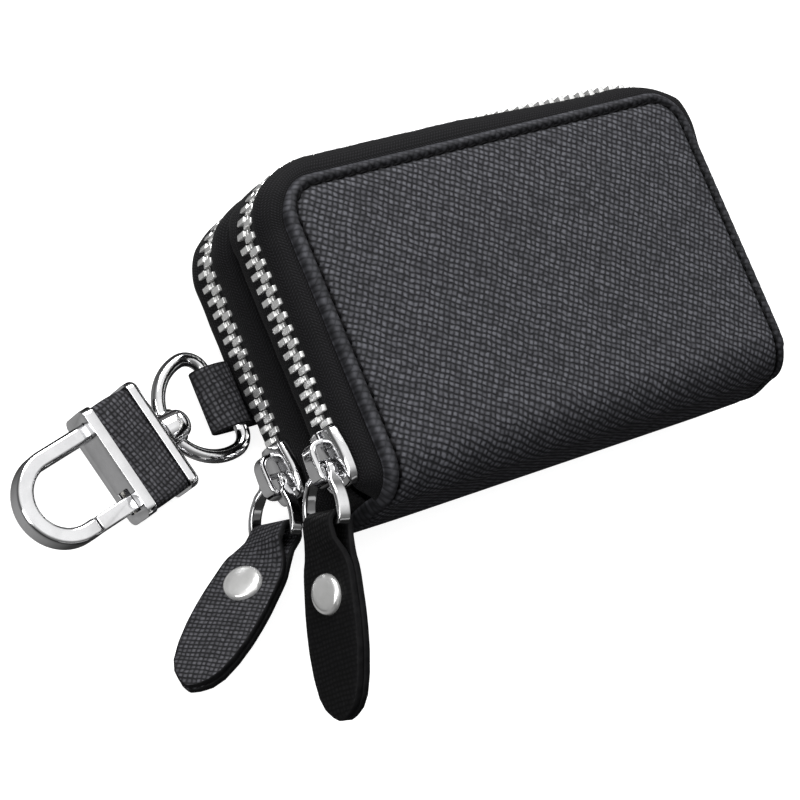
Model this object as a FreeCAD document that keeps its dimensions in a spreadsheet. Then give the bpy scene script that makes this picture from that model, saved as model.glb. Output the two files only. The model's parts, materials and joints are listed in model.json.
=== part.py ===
import FreeCAD, Part
import math
import os
import Sketcher
from types import SimpleNamespace

# Leather key case with two zipped compartments, lying on its back panel.
# X runs along the spine with the clasp on -X, +Y points to the zipped top side, +Z to the front panel.
# The origin is the centre of the back panel's resting face.

V = FreeCAD.Vector
doc = FreeCAD.newDocument("KeyCase")

sizes = {
    # covers, spine and divider
    "panelLength": 96.0, "panelWidth": 60.0, "caseThickness": 34.0, "cornerRadius": 8.0,
    "rimThickness": 2.4, "chainInset": 8.5, "wrapLand": 0.5, "hingeGap": 0.3, "rimRoll": 0.9,
    "boardThickness": 1.2, "boardInset": 6.0, "boardClear": 0.1,
    "liningThickness": 0.6, "liningGap": 0.3, "layerGap": 0.02,
    "dividerThickness": 1.2, "dividerOverhang": 1.2,
    # zips
    "tapeThickness": 0.8, "tapeFlange": 3.2, "chainOffset": 3.6, "tapeHalfGap": 1.3,
    "outerStraight": 0.98, "innerStraight": 1.18, "innerFlange": 1.8, "tapeEndGap": 0.3,
    "toothPitch": 2.54, "toothThickness": 1.1, "toothDepth": 2.4, "toothHead": 0.7, "toothLength": 3.4,
    "toothGrip": 0.05, "chainFoot": 8.0, "stopLength": 2.4, "stopGap": 0.6,
    # sliders, their places along Y measured from the spine's outer face
    "sliderLength": 10.8, "sliderRearWidth": 8.0, "sliderFrontWidth": 9.8, "sliderNoseWidth": 6.8,
    "sliderShoulder": 1.0, "sliderNose": 1.4, "sliderPlate": 1.0, "channelHeight": 3.0,
    "channelRearWidth": 6.3, "channelFrontWidth": 8.2, "wedgeWidth": 2.0, "wedgeLength": 5.4,
    "slotOuter": 0.7, "slotInner": 1.15, "innerPlateWidth": 8.2,
    "crownWidth": 3.9, "crownLength": 8.4, "crownRise": 3.7,
    "tunnelLength": 4.4, "tunnelHeight": 2.6, "tunnelGap": 0.1, "crownRound": 1.0,
    "frontSliderY": 10.8, "backSliderY": 13.8, "sliderTeethGap": 1.0,
    # pull bails
    "bailLength": 10.6, "bailTopWidth": 4.6, "bailFootWidth": 11.2, "bailStrip": 1.1, "bailBand": 2.4,
    "bailTopBand": 1.2, "bailNeck": 2.0, "bailRound": 1.4,
    # pull tabs
    "tabLength": 33.8, "tabThickness": 3.0, "tabNeckWidth": 9.6, "tabWidth": 13.4, "tabFoldRadius": 2.5,
    "tabEyeRadius": 1.4, "tabRivetSet": 12.0, "rivetHead": 7.3, "rivetRise": 1.8, "rivetPost": 2.6,
    "frontSwing": 13.0, "frontDroop": 11.0, "frontTabSwing": 0.0, "frontTwist": 12.0,
    "backSwing": 16.5, "backDroop": 8.9, "backRoll": 10.0, "backTabSwing": 37.5, "backTwist": 28.0,
    # strap loop and swivel eye
    "strapWidth": 12.0, "strapLayer": 1.1, "strapReach": 5.5, "strapCentre": 1.2, "strapClear": 0.05,
    "strapFloor": 0.2, "eyeSetX": 8.6, "eyeSetY": 1.4, "claspAxisHeight": 4.0, "claspYaw": 14.0,
    "eyeWire": 2.6, "eyeBar": 12.4, "eyeCorner": 3.4, "eyeArch": 9.6, "eyePlay": 0.5,
    "bossDiameter": 6.8, "bossLength": 3.4, "postDiameter": 3.0, "postPlay": 0.05,
    "postHead": 5.4, "postHeadRise": 2.2, "postHeadGap": 0.1, "collarDiameter": 5.0, "collarGap": 0.1,
    # clasp
    "ferruleWidth": 22.0, "ferruleThickness": 8.0, "ferruleLength": 3.8, "ferruleWall": 0.6,
    "ferruleCup": 1.6, "ferruleRound": 1.6, "upperFerruleSet": 15.0, "sleeveLength": 9.2,
    "lowerFerruleLength": 2.8, "coreWidth": 19.4, "coreThickness": 5.6, "coreGap": 0.02,
    "hookWidth": 14.8, "hookStrip": 3.2, "hookBand": 4.2, "hookReach": 10.4, "noseLength": 2.0,
    "hookRoot": 4.0, "gateLength": 9.1, "gateGap": 0.4, "gateWidth": 3.0, "gateBand": 3.6,
    "gatePinDiameter": 1.6, "gatePinPlay": 0.05, "gateRoom": 0.3, "gatePocket": 5.0, "springLeaf": 0.35,
    # key hooks inside the front compartment, set from the spine's outer face
    "plateGap": 2.3, "plateWidth": 9.0, "plateThickness": 1.0, "plateSetY": 11.0,
    "hookSet": 8.5, "keyHookWidth": 7.0, "keyHookLength": 19.0, "keyHookThickness": 1.2,
    "keyHookWindow": 4.0, "keyHookSlit": 0.7, "studDiameter": 2.4, "studHead": 5.0, "studHeadRise": 0.8,
    "studPlay": 0.08, "studGap": 0.15, "plateEnd": 4.0, "plateRivet": 2.6, "plateRivetHead": 5.0,
    # fob loop inside the back compartment, set from the spine's outer face
    "fobStrapWidth": 6.0, "fobLayer": 1.0, "fobStrapLength": 13.0, "fobRing": 22.0, "fobWire": 2.2,
    "fobPlay": 0.7, "fobSetY": 19.0, "fobRest": 0.1,
}

sheet = doc.addObject("Spreadsheet::Sheet", "Sizes")
for row, (name, value) in enumerate(sizes.items(), 1):
    sheet.set(f"A{row}", name)
    sheet.set(f"B{row}", str(value))
    sheet.setAlias(f"B{row}", name)
doc.recompute()


class Cell:
    """A size with its value and its text in the sheet's expressions."""

    def __init__(self, value, text):
        self.value = float(value)
        self.text = text

    def join(self, sign, other, swap=False):
        other = other if isinstance(other, Cell) else Cell(other, repr(float(other)))
        a, b = (other, self) if swap else (self, other)
        total = {"+": a.value + b.value, "-": a.value - b.value, "*": a.value * b.value}.get(sign)
        if total is None:
            total = a.value / b.value
        return Cell(total, f"({a.text} {sign} {b.text})")

    def __add__(self, other):
        return self.join("+", other)

    def __sub__(self, other):
        return self.join("-", other)

    def __rsub__(self, other):
        return self.join("-", other, True)

    def __mul__(self, other):
        return self.join("*", other)

    def __truediv__(self, other):
        return self.join("/", other)

    def __neg__(self):
        return Cell(-self.value, f"(0 - {self.text})")


k = SimpleNamespace(**{name: Cell(sheet.get(name), "Sizes." + name) for name in sizes})
n = SimpleNamespace(**{name: sheet.get(name) for name in sizes})
k.wrapRadius = k.chainInset - k.wrapLand
n.wrapRadius = k.wrapRadius.value
k.outerBend = (k.chainInset - k.rimThickness - k.tapeThickness / 2 - k.layerGap - k.tapeHalfGap
               - k.outerStraight)
n.outerBend = k.outerBend.value
frontSliderAt = k.frontSliderY - k.panelWidth / 2
backSliderAt = k.backSliderY - k.panelWidth / 2
plateAt = k.plateSetY - k.panelWidth / 2
fobAt = k.fobSetY - k.panelWidth / 2
zero = Cell(0, "0")
nearly = 0.01
parallel = 0.999
nodes = []


def bind(obj, prop, cell):
    obj.setExpression(prop, cell.text)


def keep(obj, label):
    obj.Label = label
    nodes.append(obj)
    return obj


def newBody(label):
    body = doc.addObject("PartDesign::Body", label)
    body.Label = label
    return body


def place(obj, x=zero, y=zero, z=zero, rotation=None):
    obj.Placement = FreeCAD.Placement(V(x.value, y.value, z.value), rotation or FreeCAD.Rotation())
    for axis, cell in zip("xyz", (x, y, z)):
        bind(obj, f"Placement.Base.{axis}", cell)


def sketch(body, role, loops=(), circles=(), lift=zero):
    """Closed polygons whose corners, and circles whose centres and radii, follow the sheet."""
    sk = body.newObject("Sketcher::SketchObject", "Profile")
    plane = [part for part in body.Origin.OriginFeatures if part.Role == role][0]
    sk.AttachmentSupport = [(plane, "")]
    sk.MapMode = "FlatFace"
    sk.AttachmentOffset = FreeCAD.Placement(V(0, 0, lift.value), FreeCAD.Rotation())
    bind(sk, "AttachmentOffset.Base.z", lift)

    def pin(kind, geometry, point, cell, first=(-1, 1)):
        number = sk.addConstraint(Sketcher.Constraint(kind, *first, geometry, point, cell.value))
        title = f"at{number}"
        sk.renameConstraint(number, title)
        bind(sk, f"Constraints.{title}", cell)

    for loop in loops:
        start = sk.GeometryCount
        count = len(loop)
        for i in range(count):
            a, b = loop[i], loop[(i + 1) % count]
            line = Part.LineSegment(V(a[0].value, a[1].value, 0), V(b[0].value, b[1].value, 0))
            sk.addGeometry(line)
        for i in range(count):
            sk.addConstraint(Sketcher.Constraint("Coincident", start + i, 2, start + (i + 1) % count, 1))
        for i, corner in enumerate(loop):
            pin("DistanceX", start + i, 1, corner[0])
            pin("DistanceY", start + i, 1, corner[1])
    for cx, cy, radius in circles:
        geometry = sk.addGeometry(Part.Circle(V(cx.value, cy.value, 0), V(0, 0, 1), radius.value))
        pin("DistanceX", geometry, 3, cx)
        pin("DistanceY", geometry, 3, cy)
        number = sk.addConstraint(Sketcher.Constraint("Radius", geometry, radius.value))
        sk.renameConstraint(number, f"radius{number}")
        bind(sk, f"Constraints.radius{number}", radius)
    return sk


def pad(body, sk, length, side="Symmetric", reverse=False):
    feature = body.newObject("PartDesign::Pad", "Pad")
    feature.Profile = sk
    feature.SideType = side
    feature.Reversed = reverse
    bind(feature, "Length", length)
    doc.recompute()
    return feature


def pocket(body, sk, length, side="Symmetric", reverse=False):
    before = body.Shape.Volume
    feature = body.newObject("PartDesign::Pocket", "Pocket")
    feature.Profile = sk
    feature.SideType = side
    feature.Reversed = reverse
    bind(feature, "Length", length)
    doc.recompute()
    if body.Shape.Volume > before - 1e-6:
        raise RuntimeError(f"{body.Label}: a pocket cuts nothing")
    return feature


def roundEdges(body, radius, pick):
    base = body.Tip
    names = [f"Edge{i}" for i, edge in enumerate(base.Shape.Edges, 1) if pick(edge)]
    feature = body.newObject("PartDesign::Fillet", "Round")
    feature.Base = (base, names)
    bind(feature, "Radius", radius)
    doc.recompute()
    return feature


def along(edge, axis):
    if not isinstance(edge.Curve, Part.Line):
        return False
    return abs(edge.Curve.Direction.dot(axis)) > parallel


def rectangle(x0, x1, y0, y1):
    return [(x0, y0), (x1, y0), (x1, y1), (x0, y1)]


def block(label, x0, x1, y0, y1, z0, z1):
    box = doc.addObject("Part::Box", label)
    bind(box, "Length", x1 - x0)
    bind(box, "Width", y1 - y0)
    bind(box, "Height", z1 - z0)
    place(box, x0, y0, z0)
    return box


def join(kind, label, base, tool):
    feature = doc.addObject("Part::" + kind, label)
    feature.Base = base
    feature.Tool = tool
    feature.Refine = True
    return feature


def solid(label, shape):
    feature = doc.addObject("Part::Feature", label)
    feature.Shape = shape
    return keep(feature, label)


xAxis, yAxis, zAxis = V(1, 0, 0), V(0, 1, 0), V(0, 0, 1)
halfLength = k.panelLength / 2
halfWidth = k.panelWidth / 2
midHeight = k.caseThickness / 2
spineInner = -halfWidth + k.rimThickness

# Front cover: turned-edge leather that wraps a quarter round into the spine.
cover = newBody("front_panel")
coverEnd = k.caseThickness - k.chainInset + k.hingeGap / 2
coverUnder = k.caseThickness - k.rimThickness
wrap = [(halfWidth, k.caseThickness), (-halfWidth, k.caseThickness), (-halfWidth, coverEnd),
        (spineInner, coverEnd), (spineInner, coverUnder), (halfWidth, coverUnder)]
pad(cover, sketch(cover, "YZ_Plane", [wrap]), k.panelLength)
roundEdges(cover, k.wrapRadius, lambda e: along(e, xAxis) and e.CenterOfMass.y < 0
           and e.CenterOfMass.z > n.caseThickness - nearly)
roundEdges(cover, k.wrapRadius - k.rimThickness, lambda e: along(e, xAxis) and e.CenterOfMass.y < 0
           and abs(e.CenterOfMass.z - coverUnder.value) < nearly
           and e.CenterOfMass.y < spineInner.value + nearly)
roundEdges(cover, k.cornerRadius, lambda e: along(e, zAxis) and e.CenterOfMass.y > 0)
roundEdges(cover, k.rimRoll, lambda e: along(e, yAxis) and e.CenterOfMass.z > n.caseThickness - nearly)
boardBox = rectangle(-halfLength + k.boardInset, halfLength - k.boardInset,
                     -halfWidth + k.wrapRadius, halfWidth - k.boardInset)
pocket(cover, sketch(cover, "XY_Plane", [boardBox], lift=coverUnder), k.boardThickness, "One side", True)
keep(cover, "front_panel")

frontBoard = keep(block("front_board", -halfLength + k.boardInset + k.boardClear,
                        halfLength - k.boardInset - k.boardClear,
                        -halfWidth + k.wrapRadius + k.boardClear, halfWidth - k.boardInset - k.boardClear,
                        coverUnder, coverUnder + k.boardThickness), "front_board")

liningInset = k.tapeFlange + k.liningGap
lining = newBody("front_lining")
liningEdge = rectangle(-halfLength + liningInset, halfLength - liningInset,
                       -halfWidth + k.wrapRadius, halfWidth - liningInset)
pad(lining, sketch(lining, "XY_Plane", [liningEdge], lift=coverUnder - k.layerGap), k.liningThickness,
    "One side", True)
roundEdges(lining, k.cornerRadius - liningInset, lambda e: along(e, zAxis) and e.CenterOfMass.y > 0)
keep(lining, "front_lining")


def mirrored(source, label):
    feature = doc.addObject("Part::Mirroring", label)
    feature.Source = source
    feature.Normal = zAxis
    bind(feature, "Base.z", midHeight)
    return feature


# Back cover: the front cover mirrored, with a notch in its rim for the strap's tail.
strapEdgeLow = k.strapCentre - k.strapWidth / 2
strapEdgeHigh = k.strapCentre + k.strapWidth / 2
tailInner = -halfLength + k.strapReach
backSkin = mirrored(cover, "back_skin")
notch = block("strap_notch", -halfLength - k.rimThickness, tailInner + k.strapClear,
              strapEdgeLow - k.strapClear, strapEdgeHigh + k.strapClear,
              k.strapFloor - k.layerGap, k.rimThickness + k.layerGap)
keep(join("Cut", "back_panel", backSkin, notch), "back_panel")
keep(mirrored(frontBoard, "back_board"), "back_board")
keep(mirrored(lining, "back_lining"), "back_lining")

# Spine leather and the divider between the two compartments.
keep(block("spine_panel", -halfLength, halfLength, -halfWidth, spineInner,
           k.chainInset + k.hingeGap / 2, k.caseThickness - k.chainInset - k.hingeGap / 2), "spine_panel")

divider = newBody("divider")
dividerEdge = rectangle(-halfLength - k.dividerOverhang, halfLength + k.dividerOverhang,
                        spineInner + k.layerGap, halfWidth + k.dividerOverhang)
dividerSeat = midHeight + k.dividerThickness / 2 + k.tapeThickness / 2 + k.layerGap
innerBend = k.caseThickness - k.chainInset - k.tapeHalfGap - k.innerStraight - dividerSeat
innerReach = innerBend - k.chainOffset + k.innerFlange
plateHalf = halfLength - innerReach - k.plateGap
rivetSet = plateHalf - k.plateEnd
rivetSpots = [(rivetSet, plateAt, k.plateRivet / 2), (-rivetSet, plateAt, k.plateRivet / 2)]
pad(divider, sketch(divider, "XY_Plane", [dividerEdge], rivetSpots, lift=midHeight), k.dividerThickness)
roundEdges(divider, k.cornerRadius + k.dividerOverhang, lambda e: along(e, zAxis) and e.CenterOfMass.y > 0)
keep(divider, "divider")

# Zip path: left end, top and right end of the case, with rounded corners.
pathStart = -n.panelWidth / 2 + n.rimThickness + n.tapeEndGap
cornerX = n.panelLength / 2 - n.cornerRadius
cornerY = n.panelWidth / 2 - n.cornerRadius
frontChain = n.caseThickness - n.chainInset
backChain = n.chainInset


def sweepRound(face):
    """Carries a section drawn at the path's left start along the three zipped sides."""
    rise = V(0, cornerY - pathStart, 0)
    left = face.extrude(rise)
    turned = face.copy()
    turned.translate(rise)
    leftCorner = turned.revolve(V(-cornerX, cornerY, 0), zAxis, -90)
    turned.rotate(V(-cornerX, cornerY, 0), zAxis, -90)
    top = turned.extrude(V(2 * cornerX, 0, 0))
    turned.translate(V(2 * cornerX, 0, 0))
    rightCorner = turned.revolve(V(cornerX, cornerY, 0), zAxis, -90)
    turned.rotate(V(cornerX, cornerY, 0), zAxis, -90)
    right = turned.extrude(-rise)
    return left.fuse([leftCorner, top, rightCorner, right]).removeSplitter().Solids[0]


def tape(flangeHeight, chainHeight, bend, reach):
    """Woven tape: a flange sewn to a panel, a quarter bend, and a straight edge at the chain."""
    side = 1 if flangeHeight > chainHeight else -1
    half = n.tapeThickness / 2
    turn = n.chainOffset - bend
    bendHeight = flangeHeight - side * bend
    edgeHeight = chainHeight + side * n.tapeHalfGap
    diagonal = math.sqrt(0.5)

    def at(offset, height):
        return V(-n.panelLength / 2 - offset, pathStart, height)

    def arc(radius, forward):
        ends = [at(turn, flangeHeight + side * (radius - bend)),
                at(turn + diagonal * radius, bendHeight + side * diagonal * radius),
                at(turn + radius, bendHeight)]
        return Part.Arc(*(ends if forward else ends[::-1])).toShape()

    def line(a, b):
        return Part.LineSegment(a, b).toShape()

    outer, inner = bend + half, bend - half
    edges = [line(at(-reach, flangeHeight + side * half), at(turn, flangeHeight + side * half)),
             arc(outer, True),
             line(at(turn + outer, bendHeight), at(turn + outer, edgeHeight)),
             line(at(turn + outer, edgeHeight), at(turn + inner, edgeHeight)),
             line(at(turn + inner, edgeHeight), at(turn + inner, bendHeight)),
             arc(inner, False),
             line(at(turn, flangeHeight - side * half), at(-reach, flangeHeight - side * half)),
             line(at(-reach, flangeHeight - side * half), at(-reach, flangeHeight + side * half))]
    return sweepRound(Part.Face(Part.Wire(edges)))


def clearWrap(shape, low, high):
    """Takes the flange away where the cover's leather rounds into the spine."""
    inset = 0.3
    long = n.panelLength + 2 * inset
    span = n.wrapRadius
    room = Part.makeBox(long, span, high - low, V(-long / 2, -n.panelWidth / 2, low))
    return shape.cut(room)


def pathPoint(distance):
    """Point, heading and outward direction on the chain's centre line."""
    radius = n.cornerRadius + n.chainOffset
    left = cornerY - pathStart
    bendRun = radius * math.pi / 2
    if distance < left:
        return V(-cornerX - radius, pathStart + distance, 0), V(0, 1, 0), V(-1, 0, 0)
    distance -= left
    if distance < bendRun:
        a = distance / radius
        out = V(-math.cos(a), math.sin(a), 0)
        return V(-cornerX, cornerY, 0) + out * radius, V(math.sin(a), math.cos(a), 0), out
    distance -= bendRun
    if distance < 2 * cornerX:
        return V(-cornerX + distance, cornerY + radius, 0), V(1, 0, 0), V(0, 1, 0)
    distance -= 2 * cornerX
    if distance < bendRun:
        a = distance / radius
        out = V(math.sin(a), math.cos(a), 0)
        return V(cornerX, cornerY, 0) + out * radius, V(math.cos(a), -math.sin(a), 0), out
    distance -= bendRun
    return V(cornerX + radius, cornerY - distance, 0), V(0, -1, 0), V(1, 0, 0)


pathLength = 2 * (cornerY - pathStart) + 2 * cornerX + math.pi * (n.cornerRadius + n.chainOffset)


def clampTooth(distance, chainHeight, side, thickness):
    """A stamped tooth whose two legs grip the tape and whose head reaches past the chain's middle."""
    point, heading, out = pathPoint(distance)
    half = n.toothDepth / 2
    grip = n.tapeThickness / 2 + n.toothGrip
    root = n.tapeHalfGap - n.toothGrip
    legs = n.toothLength - n.toothHead
    corners = [(-half, -n.toothHead), (half, -n.toothHead), (half, legs), (grip, legs), (grip, root),
               (-grip, root), (-grip, legs), (-half, legs)]
    base = point + V(0, 0, chainHeight) - heading * (thickness / 2)
    wire = Part.makePolygon([base + out * c[0] + zAxis * (side * c[1]) for c in corners + corners[:1]])
    return Part.Face(wire).extrude(heading * thickness)


def toothRow(chainHeight, side, sliderY, shift):
    first = sliderY + n.sliderLength / 2 + n.sliderTeethGap - pathStart + shift
    last = pathLength - n.chainFoot + shift
    count = int((last - first) / n.toothPitch) + 1
    teeth = [clampTooth(first + i * n.toothPitch, chainHeight, side, n.toothThickness) for i in range(count)]
    return Part.makeCompound(teeth)


def bottomStop(chainHeight, side):
    distance = pathLength - n.chainFoot + n.toothPitch + n.stopLength / 2 + n.stopGap
    return clampTooth(distance, chainHeight, side, n.stopLength)


flangeStep = n.tapeThickness / 2 + n.layerGap
frontFlange = n.caseThickness - n.rimThickness - flangeStep
backFlange = n.rimThickness + flangeStep
dividerFront = dividerSeat.value
dividerBack = n.caseThickness - dividerFront
halfPitch = n.toothPitch / 2


def outerTape(flangeHeight, chainHeight):
    return tape(flangeHeight, chainHeight, n.outerBend, n.tapeFlange)


solid("front_tape_outer", clearWrap(outerTape(frontFlange, frontChain), frontChain, n.caseThickness))
solid("front_tape_inner", tape(dividerFront, frontChain, innerBend.value, innerReach.value))
solid("back_tape_outer", clearWrap(outerTape(backFlange, backChain), 0, backChain))
solid("back_tape_inner", tape(dividerBack, backChain, innerBend.value, innerReach.value))
solid("front_teeth_outer", toothRow(frontChain, 1, frontSliderAt.value, 0))
solid("front_teeth_inner", toothRow(frontChain, -1, frontSliderAt.value, halfPitch))
solid("back_teeth_outer", toothRow(backChain, -1, backSliderAt.value, 0))
solid("back_teeth_inner", toothRow(backChain, 1, backSliderAt.value, halfPitch))
solid("front_zip_stop", bottomStop(frontChain, -1))
solid("back_zip_stop", bottomStop(backChain, 1))

# Zip sliders, drawn with x towards the closed chain, y across it and z out of the case.
endTurn = FreeCAD.Rotation(V(0, 1, 0), V(0, 0, -1), V(-1, 0, 0), "ZXY")
chainX = -halfLength - k.chainOffset
sliderHalf = k.channelHeight / 2 + k.sliderPlate
tunnelSet = sliderHalf + k.tunnelGap + k.tunnelHeight / 2


def makeSlider(label, sliderY, chainHeight):
    body = newBody(label)
    rear, front = k.sliderLength / 2, -(k.sliderLength / 2)

    def mirrorLoop(side):
        return side + [(x, -y) for x, y in reversed(side)]

    shell = mirrorLoop([(rear, k.sliderRearWidth / 2), (k.sliderShoulder, k.sliderFrontWidth / 2),
                        (front + k.sliderNose, k.sliderFrontWidth / 2), (front, k.sliderNoseWidth / 2)])
    pad(body, sketch(body, "XY_Plane", [shell]), sliderHalf * 2)
    roundEdges(body, k.sliderPlate * 0.6, lambda e: abs(e.CenterOfMass.z) > sliderHalf.value - nearly)
    past = k.sliderPlate
    channel = mirrorLoop([(rear + past, k.channelRearWidth / 2), (k.sliderShoulder, k.channelFrontWidth / 2),
                          (front - past, k.channelFrontWidth / 2)])
    wedge = [(front + k.wedgeLength, zero), (front + k.sliderNose, k.wedgeWidth / 2),
             (front, k.wedgeWidth / 2), (front, -(k.wedgeWidth / 2)),
             (front + k.sliderNose, -(k.wedgeWidth / 2))]
    pocket(body, sketch(body, "XY_Plane", [channel, wedge]), k.channelHeight)
    edge = k.channelRearWidth / 2 - k.sliderPlate * 0.5
    far = k.sliderFrontWidth
    slots = [rectangle(front - past, rear + past, edge, far),
             rectangle(front - past, rear + past, -far, -edge)]
    pocket(body, sketch(body, "XY_Plane", slots), k.slotOuter, "One side", True)
    pocket(body, sketch(body, "XY_Plane", slots), k.slotInner, "One side", False)
    trim = k.innerPlateWidth / 2
    edges = [rectangle(front - past, rear + past, trim, far),
             rectangle(front - past, rear + past, -far, -trim)]
    pocket(body, sketch(body, "XY_Plane", edges), sliderHalf * 2, "One side", False)
    bridge = rectangle(-(k.crownLength / 2), k.crownLength / 2, sliderHalf - k.sliderPlate / 2,
                       sliderHalf + k.crownRise)
    pad(body, sketch(body, "XZ_Plane", [bridge]), k.crownWidth)
    roundEdges(body, k.crownRound, lambda e: along(e, yAxis)
               and e.CenterOfMass.z > sliderHalf.value + n.crownRise - nearly)
    tunnel = rectangle(-(k.tunnelLength / 2), k.tunnelLength / 2, sliderHalf + k.tunnelGap,
                       sliderHalf + k.tunnelGap + k.tunnelHeight)
    pocket(body, sketch(body, "XZ_Plane", [tunnel]), k.crownWidth * 2)
    place(body, chainX, sliderY, chainHeight, endTurn)
    return keep(body, label)


makeSlider("front_slider", frontSliderAt, k.caseThickness - k.chainInset)
makeSlider("back_slider", backSliderAt, k.chainInset)


def pullTurn(swing, droop, roll):
    """Pose of a pull on its slider: swung out, drooped across the chain and rolled on its length."""
    turn = FreeCAD.Rotation(yAxis, swing).multiply(FreeCAD.Rotation(zAxis, -droop))
    return endTurn.multiply(turn.multiply(FreeCAD.Rotation(xAxis, roll)))


def makeBail(label, sliderY, chainHeight, turn):
    """Stirrup bent from flat strip, narrowed where it runs through the slider's crown."""
    body = newBody(label)
    strip = k.bailStrip
    top, foot = k.bailTopWidth / 2, k.bailFootWidth / 2

    def ring(high, low, upper, lower):
        return [(high, upper), (low, lower), (low, -lower), (high, -upper)]

    loops = [ring(strip / 2, -k.bailLength - strip / 2, top + strip, foot + strip),
             ring(-(strip / 2), -k.bailLength + strip / 2, top, foot)]
    pad(body, sketch(body, "XY_Plane", loops), k.bailBand)
    roundEdges(body, k.bailRound, lambda e: along(e, zAxis)
               and (abs(e.CenterOfMass.x - n.bailStrip / 2) < nearly
                    or e.CenterOfMass.x < -n.bailLength - n.bailStrip / 2 + nearly))
    relief = rectangle(-k.bailNeck, strip * 2, -(k.bailFootWidth / 2), k.bailFootWidth / 2)
    for sign in (1, -1):
        pocket(body, sketch(body, "XY_Plane", [relief], lift=k.bailTopBand / 2 * sign), k.bailBand,
               "One side", sign > 0)
    place(body, chainX - tunnelSet, sliderY, chainHeight, turn)
    return keep(body, label)


# Leaf of a pull tab: share of the run past the fold, swell from the neck's to the widest width,
# and share of the twist that is reached.
tabStations = [(0.0, 0.2, 0.0), (0.06, 0.42, 0.4), (0.14, 0.62, 0.9), (0.2, 0.74, 1.0), (0.4, 0.98, 1.0),
               (0.5, 1.0, 1.0), (0.62, 0.92, 1.0), (0.76, 0.6, 1.0), (0.87, 0.08, 1.0), (0.94, -0.65, 1.0),
               (0.985, -1.6, 1.0), (1.0, -2.15, 1.0)]
foldShare = 0.3


def tabWidthAt(swell):
    """Half the width at a share of the swell between the neck and the widest place."""
    return (n.tabNeckWidth + swell * (n.tabWidth - n.tabNeckWidth)) / 2


def makeTab(label, sliderY, chainHeight, turn, swing, twist):
    """Folded leather leaf whose eye goes round the bail's foot; it may twist along its length."""
    half = n.tabThickness / 2
    leafRun = n.tabLength - n.tabFoldRadius
    stops = [(foldShare * n.tabFoldRadius, 0, 0)]
    stops += [(n.tabFoldRadius + share * leafRun, swell, turned) for share, swell, turned in tabStations]
    sections = []
    for run, swell, turned in stops:
        x = -n.bailLength - run
        spin = FreeCAD.Rotation(xAxis, twist * turned)
        width = max(tabWidthAt(swell), half / 2)
        corners = [V(x, -width, -half), V(x, width, -half), V(x, width, half), V(x, -width, half)]
        sections.append(Part.makePolygon([spin.multVec(c) for c in corners + corners[:1]]))
    leaf = Part.makeLoft(sections, True, True)
    long = n.tabNeckWidth
    fold = Part.makeCylinder(n.tabFoldRadius, long, V(-n.bailLength, -long / 2, 0), yAxis)
    eye = Part.makeCylinder(n.tabEyeRadius, 2 * long, V(-n.bailLength, -long, 0), yAxis)
    rivetSpin = FreeCAD.Rotation(xAxis, twist)
    axis = rivetSpin.multVec(zAxis)
    centre = V(-n.bailLength - n.tabRivetSet, 0, 0)
    hole = Part.makeCylinder(n.rivetPost / 2 + n.layerGap, n.tabWidth, centre - axis * (n.tabWidth / 2), axis)
    shape = leaf.fuse(fold).cut(eye).cut(hole).removeSplitter()
    if len(shape.Solids) != 1:
        raise RuntimeError(f"{label} is in {len(shape.Solids)} pieces")
    piece = solid(label, shape.Solids[0])
    base = V((chainX - tunnelSet).value, sliderY.value, chainHeight.value)
    foot = V(-n.bailLength, 0, 0)
    swung = FreeCAD.Placement(V(0, 0, 0), FreeCAD.Rotation(yAxis, swing), foot)
    hang = FreeCAD.Placement(base, turn).multiply(swung)
    piece.Placement = hang

    # Domed rivet through both layers: a high cap in front and a flat one behind.
    cap = Part.makeSphere(1, V(0, 0, 0), zAxis, 0, 90, 360)
    stretch = FreeCAD.Matrix()
    stretch.scale(n.rivetHead / 2, n.rivetHead / 2, n.rivetRise)
    lift = half + n.layerGap
    dome = cap.transformGeometry(stretch)
    dome.translate(V(0, 0, lift))
    post = Part.makeCylinder(n.rivetPost / 2, 2 * lift, V(0, 0, -lift), zAxis)
    back = Part.makeCylinder(n.rivetHead / 2, n.strapLayer / 2, V(0, 0, -lift - n.strapLayer / 2), zAxis)
    rivet = solid(label.replace("tab", "rivet"), dome.fuse([post, back]).removeSplitter().Solids[0])
    spot = FreeCAD.Placement(centre, rivetSpin)
    rivet.Placement = hang.multiply(spot)


frontTurn = pullTurn(n.frontSwing, n.frontDroop, 0)
backTurn = pullTurn(n.backSwing, n.backDroop, n.backRoll)
makeBail("front_bail", frontSliderAt, k.caseThickness - k.chainInset, frontTurn)
makeBail("back_bail", backSliderAt, k.chainInset, backTurn)
makeTab("front_tab", frontSliderAt, k.caseThickness - k.chainInset, frontTurn, n.frontTabSwing, n.frontTwist)
makeTab("back_tab", backSliderAt, k.chainInset, backTurn, n.backTabSwing, n.backTwist)

# Strap loop folded round the swivel eye's bar, its tail sewn into the back rim.
eyeX = -halfLength - k.eyeSetX
eyeHalf = k.eyeWire / 2 + k.eyePlay
yawReach = math.tan(math.radians(n.claspYaw)) * n.strapWidth / 2
yawRoom = Cell(yawReach, "(tan(Sizes.claspYaw * 1 deg) * Sizes.strapWidth / 2)")
loopHalf = eyeHalf + yawRoom
tailTop = k.strapFloor + k.strapLayer * 2
strap = newBody("strap_loop")
loopOut = eyeX - loopHalf - k.strapLayer
loopIn = eyeX + loopHalf
loopLow = k.claspAxisHeight - eyeHalf - k.strapLayer
loopHigh = k.claspAxisHeight + eyeHalf + k.strapLayer
bendIn = loopIn + k.strapLayer * 2
outerLoop = [(tailInner, k.strapFloor), (bendIn, k.strapFloor), (loopIn, loopLow), (loopOut, loopLow),
             (loopOut, loopHigh), (loopIn - k.strapLayer, loopHigh), (bendIn, tailTop), (tailInner, tailTop)]
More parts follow.
